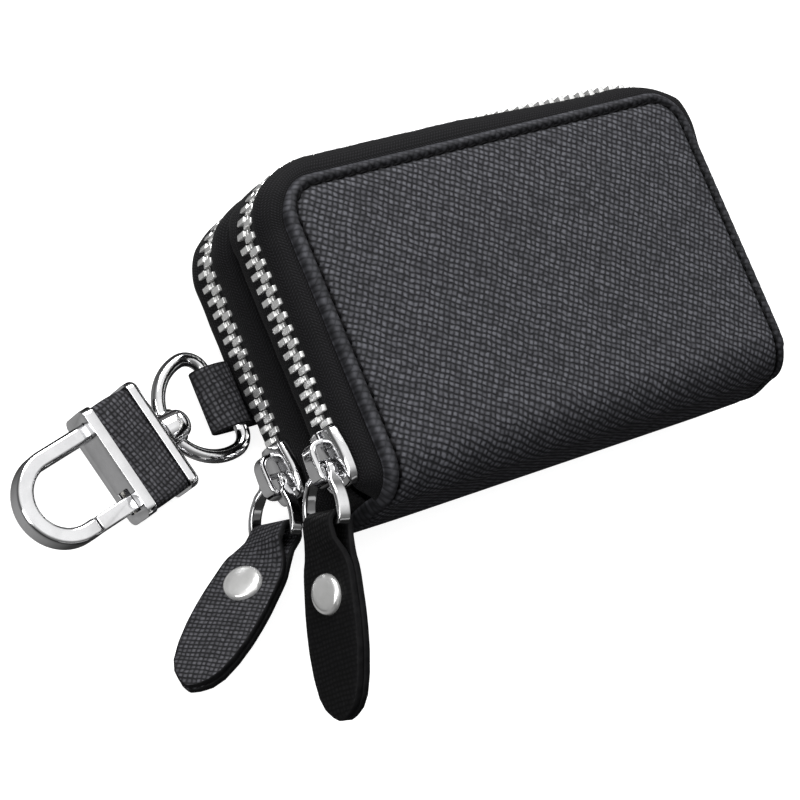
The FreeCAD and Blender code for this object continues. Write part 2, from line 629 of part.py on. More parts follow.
cavity = [(loopOut + k.strapLayer, loopLow + k.strapLayer), (loopIn, loopLow + k.strapLayer),
          (loopIn, k.claspAxisHeight), (loopIn - k.strapLayer * 1.5, loopHigh - k.strapLayer),
          (loopOut + k.strapLayer, loopHigh - k.strapLayer)]
pad(strap, sketch(strap, "XZ_Plane", [outerLoop, cavity], lift=-k.strapCentre), k.strapWidth)
roundEdges(strap, k.eyeWire / 2 + k.strapLayer, lambda e: along(e, yAxis)
           and abs(e.CenterOfMass.x - loopOut.value) < nearly)
roundEdges(strap, k.eyeWire / 2, lambda e: along(e, yAxis)
           and abs(e.CenterOfMass.x - loopOut.value - n.strapLayer) < nearly)
keep(strap, "strap_loop")

# Clasp, drawn with x along its axis away from the case, y towards the gate side, z up.
claspTurn = FreeCAD.Rotation(zAxis, 180 + n.claspYaw)


def setClasp(obj):
    place(obj, eyeX, k.eyeSetY, k.claspAxisHeight, claspTurn)


alongX = FreeCAD.Rotation(yAxis, 90)
eyeFar = k.eyeCorner + k.eyeArch
bossStart = eyeFar - k.bossLength / 2


def makeEye():
    """D-shaped wire eye with a drilled boss on its arch."""
    wire, corner, arch = n.eyeWire / 2, n.eyeCorner, n.eyeArch
    bar = arch - corner
    side = math.sqrt(0.5)
    edges = [Part.LineSegment(V(0, -bar, 0), V(0, bar, 0)).toShape(),
             Part.Arc(V(0, bar, 0), V(corner * (1 - side), bar + corner * side, 0),
                      V(corner, arch, 0)).toShape(),
             Part.Arc(V(corner, arch, 0), V(corner + arch, 0, 0), V(corner, -arch, 0)).toShape(),
             Part.Arc(V(corner, -arch, 0), V(corner * (1 - side), -bar - corner * side, 0),
                      V(0, -bar, 0)).toShape()]
    path = Part.Wire(edges)
    section = Part.Wire([Part.Circle(V(0, 0, 0), yAxis, wire).toShape()])
    section.translate(V(0, -bar, 0))
    loop = path.makePipeShell([section], True, False)
    boss = Part.makeCylinder(n.bossDiameter / 2, n.bossLength, V(bossStart.value, 0, 0), xAxis)
    hole = Part.makeCylinder(n.postDiameter / 2 + n.postPlay, 4 * n.bossLength,
                             V(bossStart.value - n.bossLength, 0, 0), xAxis)
    return loop.fuse(boss).cut(hole).removeSplitter().Solids[0]


eye = solid("swivel_eye", makeEye())
setClasp(eye)

# Headed post through the boss, riveted into the upper ferrule.
headFace = bossStart - k.postHeadGap
collarStart = bossStart + k.bossLength + k.collarGap
post = newBody("swivel_post")
shank = sketch(post, "YZ_Plane", circles=[(zero, zero, k.postDiameter / 2)], lift=headFace)
pad(post, shank, k.upperFerruleSet + k.ferruleLength - k.ferruleCup - headFace, "One side")
head = sketch(post, "YZ_Plane", circles=[(zero, zero, k.postHead / 2)], lift=headFace)
pad(post, head, k.postHeadRise, "One side", True)
roundEdges(post, k.postHeadRise * 0.7, lambda e: e.CenterOfMass.x < headFace.value - n.postHeadRise + nearly)
collar = sketch(post, "YZ_Plane", circles=[(zero, zero, k.collarDiameter / 2)], lift=collarStart)
pad(post, collar, k.upperFerruleSet - collarStart, "One side")
setClasp(post)
keep(post, "swivel_post")

sleeveWidth = k.ferruleWidth - k.ferruleWall * 2
sleeveThick = k.ferruleThickness - k.ferruleWall * 2
upperEnd = k.upperFerruleSet + k.ferruleLength
sleeveStart = upperEnd - k.ferruleCup + k.coreGap
sleeveEnd = sleeveStart + k.sleeveLength
lowerStart = sleeveEnd - k.ferruleCup + k.coreGap
lowerEnd = lowerStart + k.lowerFerruleLength
gateY = k.hookWidth / 2
pivotX = lowerEnd - k.ferruleCup
gateRoomY = k.gateWidth / 2 + k.gateRoom


def centred(width, height):
    return rectangle(-(width / 2), width / 2, -(height / 2), height / 2)


upper = newBody("upper_ferrule")
pad(upper, sketch(upper, "YZ_Plane", [centred(k.ferruleWidth, k.ferruleThickness)], lift=k.upperFerruleSet),
    k.ferruleLength, "One side")
roundEdges(upper, k.ferruleRound, lambda e: along(e, xAxis))
roundEdges(upper, k.ferruleRound * 0.8, lambda e: e.CenterOfMass.x < n.upperFerruleSet + nearly)
pocket(upper, sketch(upper, "YZ_Plane", [centred(sleeveWidth + k.coreGap * 2, sleeveThick + k.coreGap * 2)],
                     lift=upperEnd), k.ferruleCup, "One side")
pocket(upper, sketch(upper, "YZ_Plane", circles=[(zero, zero, k.postDiameter / 2)], lift=upperEnd),
       k.ferruleLength * 2, "One side")
setClasp(upper)
keep(upper, "upper_ferrule")

sleeve = newBody("leather_sleeve")
coreHole = centred(k.coreWidth + k.coreGap * 2, k.coreThickness + k.coreGap * 2)
pad(sleeve, sketch(sleeve, "YZ_Plane", [centred(sleeveWidth, sleeveThick), coreHole], lift=sleeveStart),
    k.sleeveLength, "One side")
roundEdges(sleeve, (sleeveThick - k.coreThickness) / 2, lambda e: along(e, xAxis)
           and abs(e.CenterOfMass.y) > sleeveWidth.value / 2 - nearly)
setClasp(sleeve)
keep(sleeve, "leather_sleeve")

# Core block in the sleeve: it holds the hook's root and the slotted pivot of the gate.
core = newBody("clasp_core")
coreEnd = lowerEnd - k.ferruleWall - k.coreGap
pad(core, sketch(core, "YZ_Plane", [centred(k.coreWidth, k.coreThickness)], lift=sleeveStart),
    coreEnd - sleeveStart, "One side")
rootHole = rectangle(-gateY - k.hookStrip / 2, -gateY + k.hookStrip / 2, -(k.hookBand / 2), k.hookBand / 2)
pocket(core, sketch(core, "YZ_Plane", [rootHole], lift=coreEnd), k.hookRoot, "One side")
gateSlot = rectangle(pivotX - k.gatePocket, coreEnd + k.gateRoom, gateY - gateRoomY - k.gateRoom * 3,
                     gateY + gateRoomY)
pocket(core, sketch(core, "XY_Plane", [gateSlot]), k.gateBand + k.gateRoom)
pocket(core, sketch(core, "XY_Plane", circles=[(pivotX, gateY, k.gatePinDiameter / 2)]), k.coreThickness * 2)
setClasp(core)
keep(core, "clasp_core")

lower = newBody("lower_ferrule")
pad(lower, sketch(lower, "YZ_Plane", [centred(k.ferruleWidth, k.ferruleThickness)], lift=lowerStart),
    k.lowerFerruleLength, "One side")
roundEdges(lower, k.ferruleRound, lambda e: along(e, xAxis))
pocket(lower, sketch(lower, "YZ_Plane", [centred(sleeveWidth + k.coreGap * 2, sleeveThick + k.coreGap * 2)],
                     lift=lowerStart), k.lowerFerruleLength - k.ferruleWall, "One side", True)
gateMouth = rectangle(gateY - gateRoomY - k.gateRoom * 3, gateY + gateRoomY, -((k.gateBand + k.gateRoom) / 2),
                      (k.gateBand + k.gateRoom) / 2)
pocket(lower, sketch(lower, "YZ_Plane", [rootHole, gateMouth], lift=lowerEnd), k.lowerFerruleLength,
       "One side")
setClasp(lower)
keep(lower, "lower_ferrule")


def makeHook():
    """U hook bent from flat bar, from its root in the core round to the nose that the gate meets."""
    strip, band, reach = n.hookStrip, n.hookBand, n.hookReach
    y = n.hookWidth / 2
    bendX = lowerEnd.value + reach
    root = coreEnd.value - n.hookRoot
    outer, inner = y + strip / 2, y - strip / 2
    nose = bendX - n.noseLength
    edges = [Part.LineSegment(V(root, -outer, 0), V(bendX, -outer, 0)).toShape(),
             Part.Arc(V(bendX, -outer, 0), V(bendX + outer, 0, 0), V(bendX, outer, 0)).toShape(),
             Part.LineSegment(V(bendX, outer, 0), V(nose, outer, 0)).toShape(),
             Part.LineSegment(V(nose, outer, 0), V(nose, inner, 0)).toShape(),
             Part.LineSegment(V(nose, inner, 0), V(bendX, inner, 0)).toShape(),
             Part.Arc(V(bendX, inner, 0), V(bendX + inner, 0, 0), V(bendX, -inner, 0)).toShape(),
             Part.LineSegment(V(bendX, -inner, 0), V(root, -inner, 0)).toShape(),
             Part.LineSegment(V(root, -inner, 0), V(root, -outer, 0)).toShape()]
    bar = Part.Face(Part.Wire(edges)).extrude(V(0, 0, band))
    bar.translate(V(0, 0, -band / 2))
    soft = [e for e in bar.Edges if abs(abs(e.CenterOfMass.z) - band / 2) < nearly
            and e.CenterOfMass.x > lowerEnd.value + reach + n.hookStrip]
    return bar.makeFillet(strip * 0.25, soft)


hook = solid("hook", makeHook())
setClasp(hook)

# Spring gate on its pin, closing the mouth between the ferrule and the hook's nose.
gate = newBody("hook_gate")
gateTip = lowerEnd + k.hookReach - k.noseLength - k.gateGap
bar = rectangle(pivotX, gateTip, gateY - k.gateWidth / 2, gateY + k.gateWidth / 2)
pad(gate, sketch(gate, "XY_Plane", [bar]), k.gateBand)
knuckle = sketch(gate, "XY_Plane", circles=[(pivotX, gateY, k.gateWidth / 2)])
pad(gate, knuckle, k.gateBand)
pocket(gate, sketch(gate, "XY_Plane", circles=[(pivotX, gateY, k.gatePinDiameter / 2 + k.gatePinPlay)]),
       k.gateBand * 2)
setClasp(gate)
keep(gate, "hook_gate")

pin = newBody("gate_pin")
pad(pin, sketch(pin, "XY_Plane", circles=[(pivotX, gateY, k.gatePinDiameter / 2)]), k.coreThickness)
setClasp(pin)
keep(pin, "gate_pin")

spring = newBody("gate_spring")
leafOuter = gateY + gateRoomY - k.coreGap
leaf = rectangle(pivotX - k.gatePocket + k.coreGap, pivotX - k.gateWidth / 2 - k.gateRoom,
                 leafOuter - k.springLeaf, leafOuter)
pad(spring, sketch(spring, "XY_Plane", [leaf]), k.gateBand - k.gateRoom)
setClasp(spring)
keep(spring, "gate_spring")

# Key hook plate on the divider's front face, with its rivets, studs and swinging hooks.
plateFloor = midHeight + k.dividerThickness / 2 + k.layerGap
plateTop = plateFloor + k.plateThickness
hookFloor = plateTop + k.studGap
studTop = hookFloor + k.keyHookThickness + k.studGap
outerHook = rivetSet - k.hookSet
hookXs = [-outerHook, -(outerHook / 3), outerHook / 3, outerHook]
plate = newBody("key_hook_plate")
plateEdge = rectangle(-plateHalf, plateHalf, plateAt - k.plateWidth / 2,
                      plateAt + k.plateWidth / 2)
studSpots = [(x, plateAt, k.studDiameter / 2) for x in hookXs]
pad(plate, sketch(plate, "XY_Plane", [plateEdge], rivetSpots + studSpots, lift=plateFloor), k.plateThickness,
    "One side")
roundEdges(plate, k.plateWidth / 3, lambda e: along(e, zAxis))
keep(plate, "key_hook_plate")

rivets = newBody("plate_rivets")
shaftLow = midHeight - k.dividerThickness / 2 - k.layerGap
pad(rivets, sketch(rivets, "XY_Plane", circles=rivetSpots, lift=shaftLow), plateTop + k.layerGap - shaftLow,
    "One side")
headSpots = [(x, y, k.plateRivetHead / 2) for x, y, _ in rivetSpots]
pad(rivets, sketch(rivets, "XY_Plane", circles=headSpots, lift=plateTop + k.layerGap), k.studHeadRise,
    "One side")
pad(rivets, sketch(rivets, "XY_Plane", circles=headSpots, lift=shaftLow), k.studHeadRise, "One side", True)
keep(rivets, "plate_rivets")

studs = newBody("hook_studs")
pad(studs, sketch(studs, "XY_Plane", circles=studSpots, lift=plateFloor), studTop - plateFloor, "One side")
studHeads = [(x, y, k.studHead / 2) for x, y, _ in studSpots]
pad(studs, sketch(studs, "XY_Plane", circles=studHeads, lift=studTop), k.studHeadRise, "One side")
keep(studs, "hook_studs")

for number, spot in enumerate(hookXs, 1):
    keyHook = newBody(f"key_hook_{number}")
    half = k.keyHookWidth / 2
    window = k.keyHookWindow / 2
    eyeEnd = -half
    tip = k.keyHookLength - half
    pad(keyHook, sketch(keyHook, "XY_Plane", [rectangle(-half, half, eyeEnd, tip)],
                        [(zero, zero, k.studDiameter / 2 + k.studPlay)]), k.keyHookThickness, "One side")
    roundEdges(keyHook, half * 0.96, lambda e: along(e, zAxis))
    hollow = rectangle(-window, window, half, tip - (half - window))
    slit = rectangle(window, half * 2, tip - half - k.keyHookSlit, tip - half)
    pocket(keyHook, sketch(keyHook, "XY_Plane", [hollow]), k.keyHookThickness * 4)
    pocket(keyHook, sketch(keyHook, "XY_Plane", [slit]), k.keyHookThickness * 4)
    place(keyHook, spot, plateAt, hookFloor)
    keep(keyHook, f"key_hook_{number}")

# Fob strap on the divider's back face, with a ring that lies on the back lining.
fobTop = midHeight - k.dividerThickness / 2 - k.layerGap
fobHalf = k.fobWire / 2 + k.fobPlay
fobAxis = fobTop - k.fobLayer - fobHalf
fob = newBody("fob_strap")
fobEnd = fobAt - k.fobStrapLength
loopTip = fobAt + fobHalf + k.fobLayer
fobOuter = [(fobEnd, fobTop), (loopTip, fobTop), (loopTip, fobAxis - fobHalf - k.fobLayer),
            (fobAt - fobHalf, fobAxis - fobHalf - k.fobLayer),
            (fobAt - fobHalf * 3, fobTop - k.fobLayer * 2), (fobEnd, fobTop - k.fobLayer * 2)]
fobHole = [(fobAt, fobAxis, fobHalf)]
pad(fob, sketch(fob, "YZ_Plane", [fobOuter], fobHole), k.fobStrapWidth)
roundEdges(fob, k.fobLayer + fobHalf * 0.9,
           lambda e: along(e, xAxis) and e.CenterOfMass.y > loopTip.value - nearly)
keep(fob, "fob_strap")

ringLow = k.rimThickness + k.layerGap + k.liningThickness + k.fobRest + k.fobWire / 2
fobTilt = math.degrees(math.asin((fobAxis.value - ringLow.value) / (n.fobRing - n.fobWire)))
fobRing = doc.addObject("Part::Torus", "fob_ring")
bind(fobRing, "Radius1", (k.fobRing - k.fobWire) / 2)
bind(fobRing, "Radius2", k.fobWire / 2)
tilt = FreeCAD.Placement(V(0, fobAt.value, fobAxis.value), FreeCAD.Rotation(xAxis, -fobTilt))
fobRing.Placement = tilt.multiply(FreeCAD.Placement(V(0, (n.fobRing - n.fobWire) / 2, 0), FreeCAD.Rotation()))
keep(fobRing, "fob_ring")

doc.recompute()

for item in doc.Objects:
    if "Invalid" in item.State or "Error" in item.State:
        raise RuntimeError(f"{item.Label} did not build: {item.State}")
for item in nodes:
    if item.Shape.isNull() or not item.Shape.isValid() or not item.Shape.Solids:
        raise RuntimeError(f"{item.Label} has no valid solid")

os.makedirs("parts", exist_ok=True)
for item in nodes:
    item.Shape.exportStep(f"parts/{item.Label}.step")
print(f"{len(nodes)} pieces written")
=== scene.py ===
import json
import math
import random

import bmesh
import bpy
import numpy as np
from mathutils import Matrix, Vector

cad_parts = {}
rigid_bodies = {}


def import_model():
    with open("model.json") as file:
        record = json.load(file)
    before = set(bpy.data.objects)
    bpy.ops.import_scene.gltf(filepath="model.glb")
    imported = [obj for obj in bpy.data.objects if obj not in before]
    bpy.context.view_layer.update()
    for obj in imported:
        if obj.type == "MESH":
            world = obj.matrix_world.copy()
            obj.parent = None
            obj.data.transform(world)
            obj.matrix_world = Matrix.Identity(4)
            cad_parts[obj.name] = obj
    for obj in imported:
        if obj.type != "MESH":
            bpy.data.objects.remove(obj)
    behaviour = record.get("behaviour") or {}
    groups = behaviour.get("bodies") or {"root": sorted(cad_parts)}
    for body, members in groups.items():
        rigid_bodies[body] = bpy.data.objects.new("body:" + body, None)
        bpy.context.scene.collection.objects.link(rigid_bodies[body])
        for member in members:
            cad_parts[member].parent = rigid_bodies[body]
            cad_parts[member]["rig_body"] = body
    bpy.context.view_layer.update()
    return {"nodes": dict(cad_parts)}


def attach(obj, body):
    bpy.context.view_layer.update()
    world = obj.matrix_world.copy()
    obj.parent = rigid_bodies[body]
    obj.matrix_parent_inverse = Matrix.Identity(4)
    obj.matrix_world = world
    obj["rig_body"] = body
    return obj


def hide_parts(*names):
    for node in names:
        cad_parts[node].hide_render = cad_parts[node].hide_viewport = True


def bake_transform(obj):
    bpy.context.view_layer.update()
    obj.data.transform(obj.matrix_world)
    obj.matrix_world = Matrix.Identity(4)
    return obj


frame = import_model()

mm = 0.001
nodes = frame["nodes"]
scene = bpy.context.scene
random.seed(7)  # for the slight turn of each stitch


# Shader helpers. A node's inputs are given by name, or by place as in0, in1 and so on.
def addNode(tree, kind, settings=None, **inputs):
    node = tree.nodes.new(kind)
    for key, value in (settings or {}).items():
        setattr(node, key, value)
    for key, value in inputs.items():
        byPlace = key.startswith("in") and key[2:].isdigit()
        socket = node.inputs[int(key[2:]) if byPlace else key]
        if isinstance(value, bpy.types.NodeSocket):
            tree.links.new(value, socket)
        else:
            socket.default_value = value
    return node


def calc(tree, operation, *values):
    inputs = {f"in{place}": value for place, value in enumerate(values)}
    return addNode(tree, "ShaderNodeMath", {"operation": operation}, **inputs).outputs[0]


def startMaterial(name, **sockets):
    material = bpy.data.materials.new(name)
    material.use_nodes = True
    shader = material.node_tree.nodes["Principled BSDF"]
    for key, value in sockets.items():
        shader.inputs[key.replace("_", " ")].default_value = value
    return material, material.node_tree, shader


# The grain attribute holds mm across and along a piece, and how far its rim is pressed flat.
def grainAxes(tree, turn=0.0):
    where = addNode(tree, "ShaderNodeAttribute", {"attribute_name": "grain"})
    spun = addNode(tree, "ShaderNodeMapping", Vector=where.outputs["Vector"], Rotation=(0, 0, turn))
    parts = addNode(tree, "ShaderNodeSeparateXYZ", Vector=spun.outputs["Vector"])
    return spun.outputs["Vector"], parts.outputs["X"], parts.outputs["Y"], parts.outputs["Z"]


def noiseOf(tree, vector, scale, detail=3.0, rough=0.55):
    node = addNode(tree, "ShaderNodeTexNoise", Vector=vector, Scale=scale, Detail=detail, Roughness=rough)
    return node.outputs["Fac"]


def ramp(tree, fac, stops):
    stops = list(stops)
    node = addNode(tree, "ShaderNodeValToRGB", Fac=fac)
    elements = node.color_ramp.elements
    while len(elements) < len(stops):
        elements.new(0.5)
    for element, (place, colour) in zip(elements, stops):
        element.position = place
        element.color = (*colour, 1.0)
    return node.outputs["Color"]


def spread(tree, fac, low, high):
    return addNode(tree, "ShaderNodeMapRange", Value=fac, **{"To Min": low, "To Max": high}).outputs["Result"]


# Brings a value up to 1 as the amount falls to 0.
def soften(tree, value, amount):
    return calc(tree, "MULTIPLY_ADD", calc(tree, "SUBTRACT", value, 1.0), amount, 1.0)


def bumpInto(tree, shader, height, strength, depth):
    node = addNode(tree, "ShaderNodeBump", Height=height, Strength=strength, Distance=depth)
    tree.links.new(node.outputs["Normal"], shader.inputs["Normal"])


leatherLook = {
    "turn": 0.545, "pitch": (1.09, 1.1),
    "grooveWide": (1.1, 1.0), "grooveLeast": (-0.1, 0.35), "grooveMost": 1.45,
    "wander": 1.0, "wanderScale": 0.22, "jitter": 0.42, "jitterScale": 0.8, "fadeScale": 0.75,
    "cells": (0.72, 1.1), "peak": 1.8, "patches": (0.78, 1.16), "patchScale": 0.09, "pressing": (1.0, 0.15),
    "fine": 0.25, "fineScale": 5.5, "rubbing": (0.1, 1.5),
    "dark": (0.0, 0.0, 0.0), "light": (0.094, 0.095, 0.107), "rub": (0.02, 0.02, 0.022), "floor": 0.12,
    "roughness": (0.75, 0.42), "gloss": 0.12, "refraction": 1.48, "bump": 0.8, "depth": 0.00016}
tabLook = {**leatherLook, "turn": 0.16, "pitch": (0.92, 0.86), "wander": 0.6, "light": (0.074, 0.074, 0.082)}
# A far darker copy of the pull leather: painted shade for the front pull, which hangs in shadow.
paintedShadeTabLook = {**tabLook, "light": (0.0085, 0.0085, 0.009), "gloss": 0.1, "bump": 0.4, "floor": 0.35}


# Crosshatch grain: two sets of wavering grooves, each cell with its own height and tone.
def makeLeather(name, look):
    material, tree, shader = startMaterial(name, Specular_IOR_Level=look["gloss"], IOR=look["refraction"])
    flat, across, along, pressed = grainAxes(tree, look["turn"])
    shifts = []
    for scale in (look["wanderScale"], look["jitterScale"]):
        noise = addNode(tree, "ShaderNodeTexNoise", Vector=flat, Scale=scale, Detail=1.0)
        shifts.append(addNode(tree, "ShaderNodeSeparateXYZ", Vector=noise.outputs["Color"]).outputs)
    patch = noiseOf(tree, flat, look["patchScale"], 4.0)
    fine = noiseOf(tree, flat, look["fineScale"], 3.0)
    fade = noiseOf(tree, flat, look["fadeScale"], 2.0)
    walls, counts = [], []
    for i, axis in enumerate((across, along)):
        moved = axis
        for shift, amount in zip(shifts, (look["wander"], look["jitter"])):
            moved = calc(tree, "MULTIPLY_ADD", calc(tree, "SUBTRACT", shift[i], 0.5), amount, moved)
        place = calc(tree, "DIVIDE", moved, look["pitch"][i])
        ridge = calc(tree, "ABSOLUTE", calc(tree, "SINE", calc(tree, "MULTIPLY", place, math.pi)))
        rise = addNode(tree, "ShaderNodeMapRange", {"interpolation_type": "SMOOTHSTEP"}, Value=ridge,
                       **{"From Max": look["grooveWide"][i]})
        deep = spread(tree, fade, look["grooveLeast"][i], look["grooveMost"])
        walls.append(soften(tree, rise.outputs["Result"], deep))
        counts.append(calc(tree, "FLOOR", place))
    cell = addNode(tree, "ShaderNodeCombineXYZ", X=counts[0], Y=counts[1]).outputs["Vector"]
    chance = addNode(tree, "ShaderNodeTexWhiteNoise", {"noise_dimensions": "2D"}, Vector=cell)
    grid = soften(tree, calc(tree, "MULTIPLY", *walls), spread(tree, pressed, *look["pressing"]))
    raised = calc(tree, "MULTIPLY", grid, spread(tree, chance.outputs["Value"], *look["cells"]))
    height = calc(tree, "ADD", raised, calc(tree, "MULTIPLY", fine, look["fine"]))

    # This attribute mixes in a rubbed edge where it is above 0 (real wear on the strips' edges, partly a
    # painted highlight along the covers' rims), and multiplies in painted shade where it is below (the stitch
    # groove and the rolled rim).
    wear = addNode(tree, "ShaderNodeAttribute", {"attribute_name": "wear"}).outputs["Fac"]
    rubbed = calc(tree, "MULTIPLY", calc(tree, "MAXIMUM", wear, 0.0), spread(tree, fine, *look["rubbing"]))
    shade = calc(tree, "ADD", 1.0, calc(tree, "MINIMUM", wear, 0.0))
    peaked = calc(tree, "POWER", raised, look["peak"])
    peaked = calc(tree, "MULTIPLY", peaked, spread(tree, patch, *look["patches"]))
    tone = calc(tree, "MULTIPLY", calc(tree, "MULTIPLY_ADD", peaked, 1 - look["floor"], look["floor"]), shade)
    colour = ramp(tree, tone, [(0.0, look["dark"]), (1.0, look["light"])])
    mix = addNode(tree, "ShaderNodeMix", {"data_type": "RGBA"}, in0=rubbed, in6=colour,
                  in7=(*look["rub"], 1.0))
    tree.links.new(mix.outputs[2], shader.inputs["Base Color"])
    tree.links.new(spread(tree, tone, *look["roughness"]), shader.inputs["Roughness"])
    bumpInto(tree, shader, height, look["bump"], look["depth"])
    return material


clothLook = {"rib": 0.62, "zig": 1.25, "pick": 0.46, "picks": (0.25, 1.0), "fuzz": 0.5, "fuzzScale": 3.2,
             "dark": (0.0018, 0.0018, 0.0021), "light": (0.0125, 0.0125, 0.014), "stops": (0.15, 1.0),
             "roughness": (0.84, 0.72), "gloss": 0.12, "sheen": 0.03, "sheenRough": 0.5, "bump": 0.9,
             "depth": 0.00012}
liningLook = {**clothLook, "rib": 0.8, "zig": 400.0, "light": (0.035, 0.035, 0.038), "roughness": (0.82, 0.7)}


# Herringbone ribs crossed by fine picks, with a little fuzz.
def makeCloth(name, look):
    material, tree, shader = startMaterial(name, Specular_IOR_Level=look["gloss"], Sheen_Weight=look["sheen"],
                                           Sheen_Roughness=look["sheenRough"])
    flat, along, across = grainAxes(tree)[:3]
    fuzz = noiseOf(tree, flat, look["fuzzScale"], 4.0)
    zigzag = calc(tree, "PINGPONG", across, look["zig"])
    slant = calc(tree, "MULTIPLY", calc(tree, "ADD", along, zigzag), 2 * math.pi / look["rib"])
    ribs = calc(tree, "ADD", calc(tree, "MULTIPLY", calc(tree, "SINE", slant), 0.5), 0.5)
    picks = calc(tree, "SINE", calc(tree, "MULTIPLY", across, 2 * math.pi / look["pick"]))
    weave = calc(tree, "MULTIPLY", ribs, spread(tree, picks, *look["picks"]))
    fuzzy = calc(tree, "ADD", weave, calc(tree, "MULTIPLY", fuzz, look["fuzz"]))
    colour = ramp(tree, fuzzy, zip(look["stops"], (look["dark"], look["light"])))
    tree.links.new(colour, shader.inputs["Base Color"])
    tree.links.new(spread(tree, weave, *look["roughness"]), shader.inputs["Roughness"])
    bumpInto(tree, shader, fuzzy, look["bump"], look["depth"])
    return material


metalLook = {"dull": 0.86, "stops": (0.3, 0.62), "speckFiner": 9, "speckDeep": 0.00003}
plainLook = {"stops": (0.3, 0.7), "rougher": 0.15, "bump": 0.4, "depth": 0.00008}


def makeMetal(name, tint, roughness, scale, bump, metallic=1.0):
    material, tree, shader = startMaterial(name, Metallic=metallic)
    place = addNode(tree, "ShaderNodeTexCoord").outputs["Object"]
    smear = noiseOf(tree, place, scale, 5.0, 0.6)
    specks = noiseOf(tree, place, scale * metalLook["speckFiner"], 2.0)
    dull = tuple(part * metalLook["dull"] for part in tint)
    tree.links.new(ramp(tree, smear, zip(metalLook["stops"], (dull, tint))), shader.inputs["Base Color"])
    tree.links.new(spread(tree, smear, *roughness), shader.inputs["Roughness"])
    bumpInto(tree, shader, specks, bump, metalLook["speckDeep"])
    return material


def makePlain(name, dark, light, rough, scale, gloss):
    material, tree, shader = startMaterial(name, Specular_IOR_Level=gloss)
    place = addNode(tree, "ShaderNodeTexCoord").outputs["Object"]
    mottled = noiseOf(tree, place, scale, 4.0)
    tree.links.new(ramp(tree, mottled, zip(plainLook["stops"], (dark, light))), shader.inputs["Base Color"])
    tree.links.new(spread(tree, mottled, rough, rough + plainLook["rougher"]), shader.inputs["Roughness"])
    bumpInto(tree, shader, mottled, plainLook["bump"], plainLook["depth"])
    return material


leather = makeLeather("crosshatch leather", leatherLook)
tabLeather = makeLeather("pull leather", tabLook)
paintedShadePullLeather = makeLeather("dark pull leather", paintedShadeTabLook)
tapeCloth = makeCloth("zip tape weave", clothLook)
liningCloth = makeCloth("lining twill", liningLook)
chrome = makeMetal("bright chrome", tint=(0.84, 0.84, 0.85), roughness=(0.06, 0.13), scale=260, bump=0.04)
rivetChrome = makeMetal("satin rivet chrome", tint=(0.97, 0.97, 0.96), roughness=(0.16, 0.24), scale=260,
                        bump=0.04, metallic=0.72)
zipMetal = makeMetal("zip teeth metal", tint=(0.95, 0.95, 0.94), roughness=(0.2, 0.34), scale=420, bump=0.15,
                     metallic=0.72)
nickel = makeMetal("nickel plate", tint=(0.66, 0.64, 0.6), roughness=(0.16, 0.32), scale=300, bump=0.1)
thread = makePlain("sewing thread", dark=(0.0012, 0.0012, 0.0014), light=(0.004, 0.004, 0.0045), rough=0.6,
                   scale=2500, gloss=0.06)
edgePaint = makePlain("painted leather edge", dark=(0.003, 0.003, 0.0034), light=(0.008, 0.008, 0.0085),
                      rough=0.5, scale=700, gloss=0.08)
boardSheet = makePlain("stiffener sheet", dark=(0.07, 0.07, 0.07), light=(0.13, 0.13, 0.13), rough=0.7,
                       scale=300, gloss=0.3)
print("materials ready")


# Mesh helpers.
def markGrain(mesh, spots):
    layer = mesh.attributes.new("grain", "FLOAT_VECTOR", "POINT")
    layer.data.foreach_set("vector", np.asarray(spots, float).astype(np.float32).ravel())


def addPiece(name, points, faces, materials, body=None, hides=(), grain=None, wear=None, kinds=None,
             sharp=50):
    mesh = bpy.data.meshes.new(name)
    mesh.from_pydata([tuple(point) for point in points], [], faces)
    for material in materials:
        mesh.materials.append(material)
    if kinds is not None:
        mesh.polygons.foreach_set("material_index", kinds)
    mesh.shade_smooth()
    mesh.set_sharp_from_angle(angle=math.radians(sharp))
    markGrain(mesh, np.asarray(points, float) / mm if grain is None else grain)
    rub = mesh.attributes.new("wear", "FLOAT", "POINT")
    rub.data.foreach_set("value", np.asarray(wear or np.zeros(len(points)), np.float32))
    mesh.validate()
    mesh.update()
    piece = bpy.data.objects.new(name, mesh)
    scene.collection.objects.link(piece)
    if body:
        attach(piece, body)
    if hides:
        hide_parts(*hides)
    return piece


finished = {"weld": 1e-6, "flatAngle": 0.6, "bevelAngle": 28, "sharp": 40}


# A copy of a CAD node with rounded edges, which stands for it.
def bevelledCopy(node, width, material, segments=2):
    source = nodes[node]
    shape = bmesh.new()
    shape.from_mesh(source.data)
    bmesh.ops.remove_doubles(shape, verts=shape.verts, dist=finished["weld"])
    bmesh.ops.dissolve_limit(shape, angle_limit=math.radians(finished["flatAngle"]), verts=shape.verts,
                             edges=shape.edges)
    mesh = bpy.data.meshes.new(node + "_finished")
    shape.to_mesh(mesh)
    shape.free()
    piece = bpy.data.objects.new(mesh.name, mesh)
    scene.collection.objects.link(piece)
    rounding = piece.modifiers.new("rounding", "BEVEL")
    rounding.width = width * mm
    rounding.segments = segments
    rounding.limit_method = "ANGLE"
    rounding.angle_limit = math.radians(finished["bevelAngle"])
    bpy.context.view_layer.update()
    ready = bpy.data.meshes.new_from_object(piece.evaluated_get(bpy.context.evaluated_depsgraph_get()))
    piece.modifiers.clear()
    piece.data = ready
    bpy.data.meshes.remove(mesh)
    ready.name = piece.name
    ready.materials.clear()
    ready.materials.append(material)
    ready.shade_smooth()
    ready.set_sharp_from_angle(angle=math.radians(finished["sharp"]))
    markGrain(ready, np.array([vertex.co for vertex in ready.vertices], np.float32) / mm)
    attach(piece, source["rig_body"])
    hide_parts(node)
    return piece


def smoothstep(value, low, high):
    share = min(max((value - low) / (high - low), 0.0), 1.0)
    return share * share * (3 - 2 * share)


def blendOf(low, high, share):
    return low + (high - low) * share


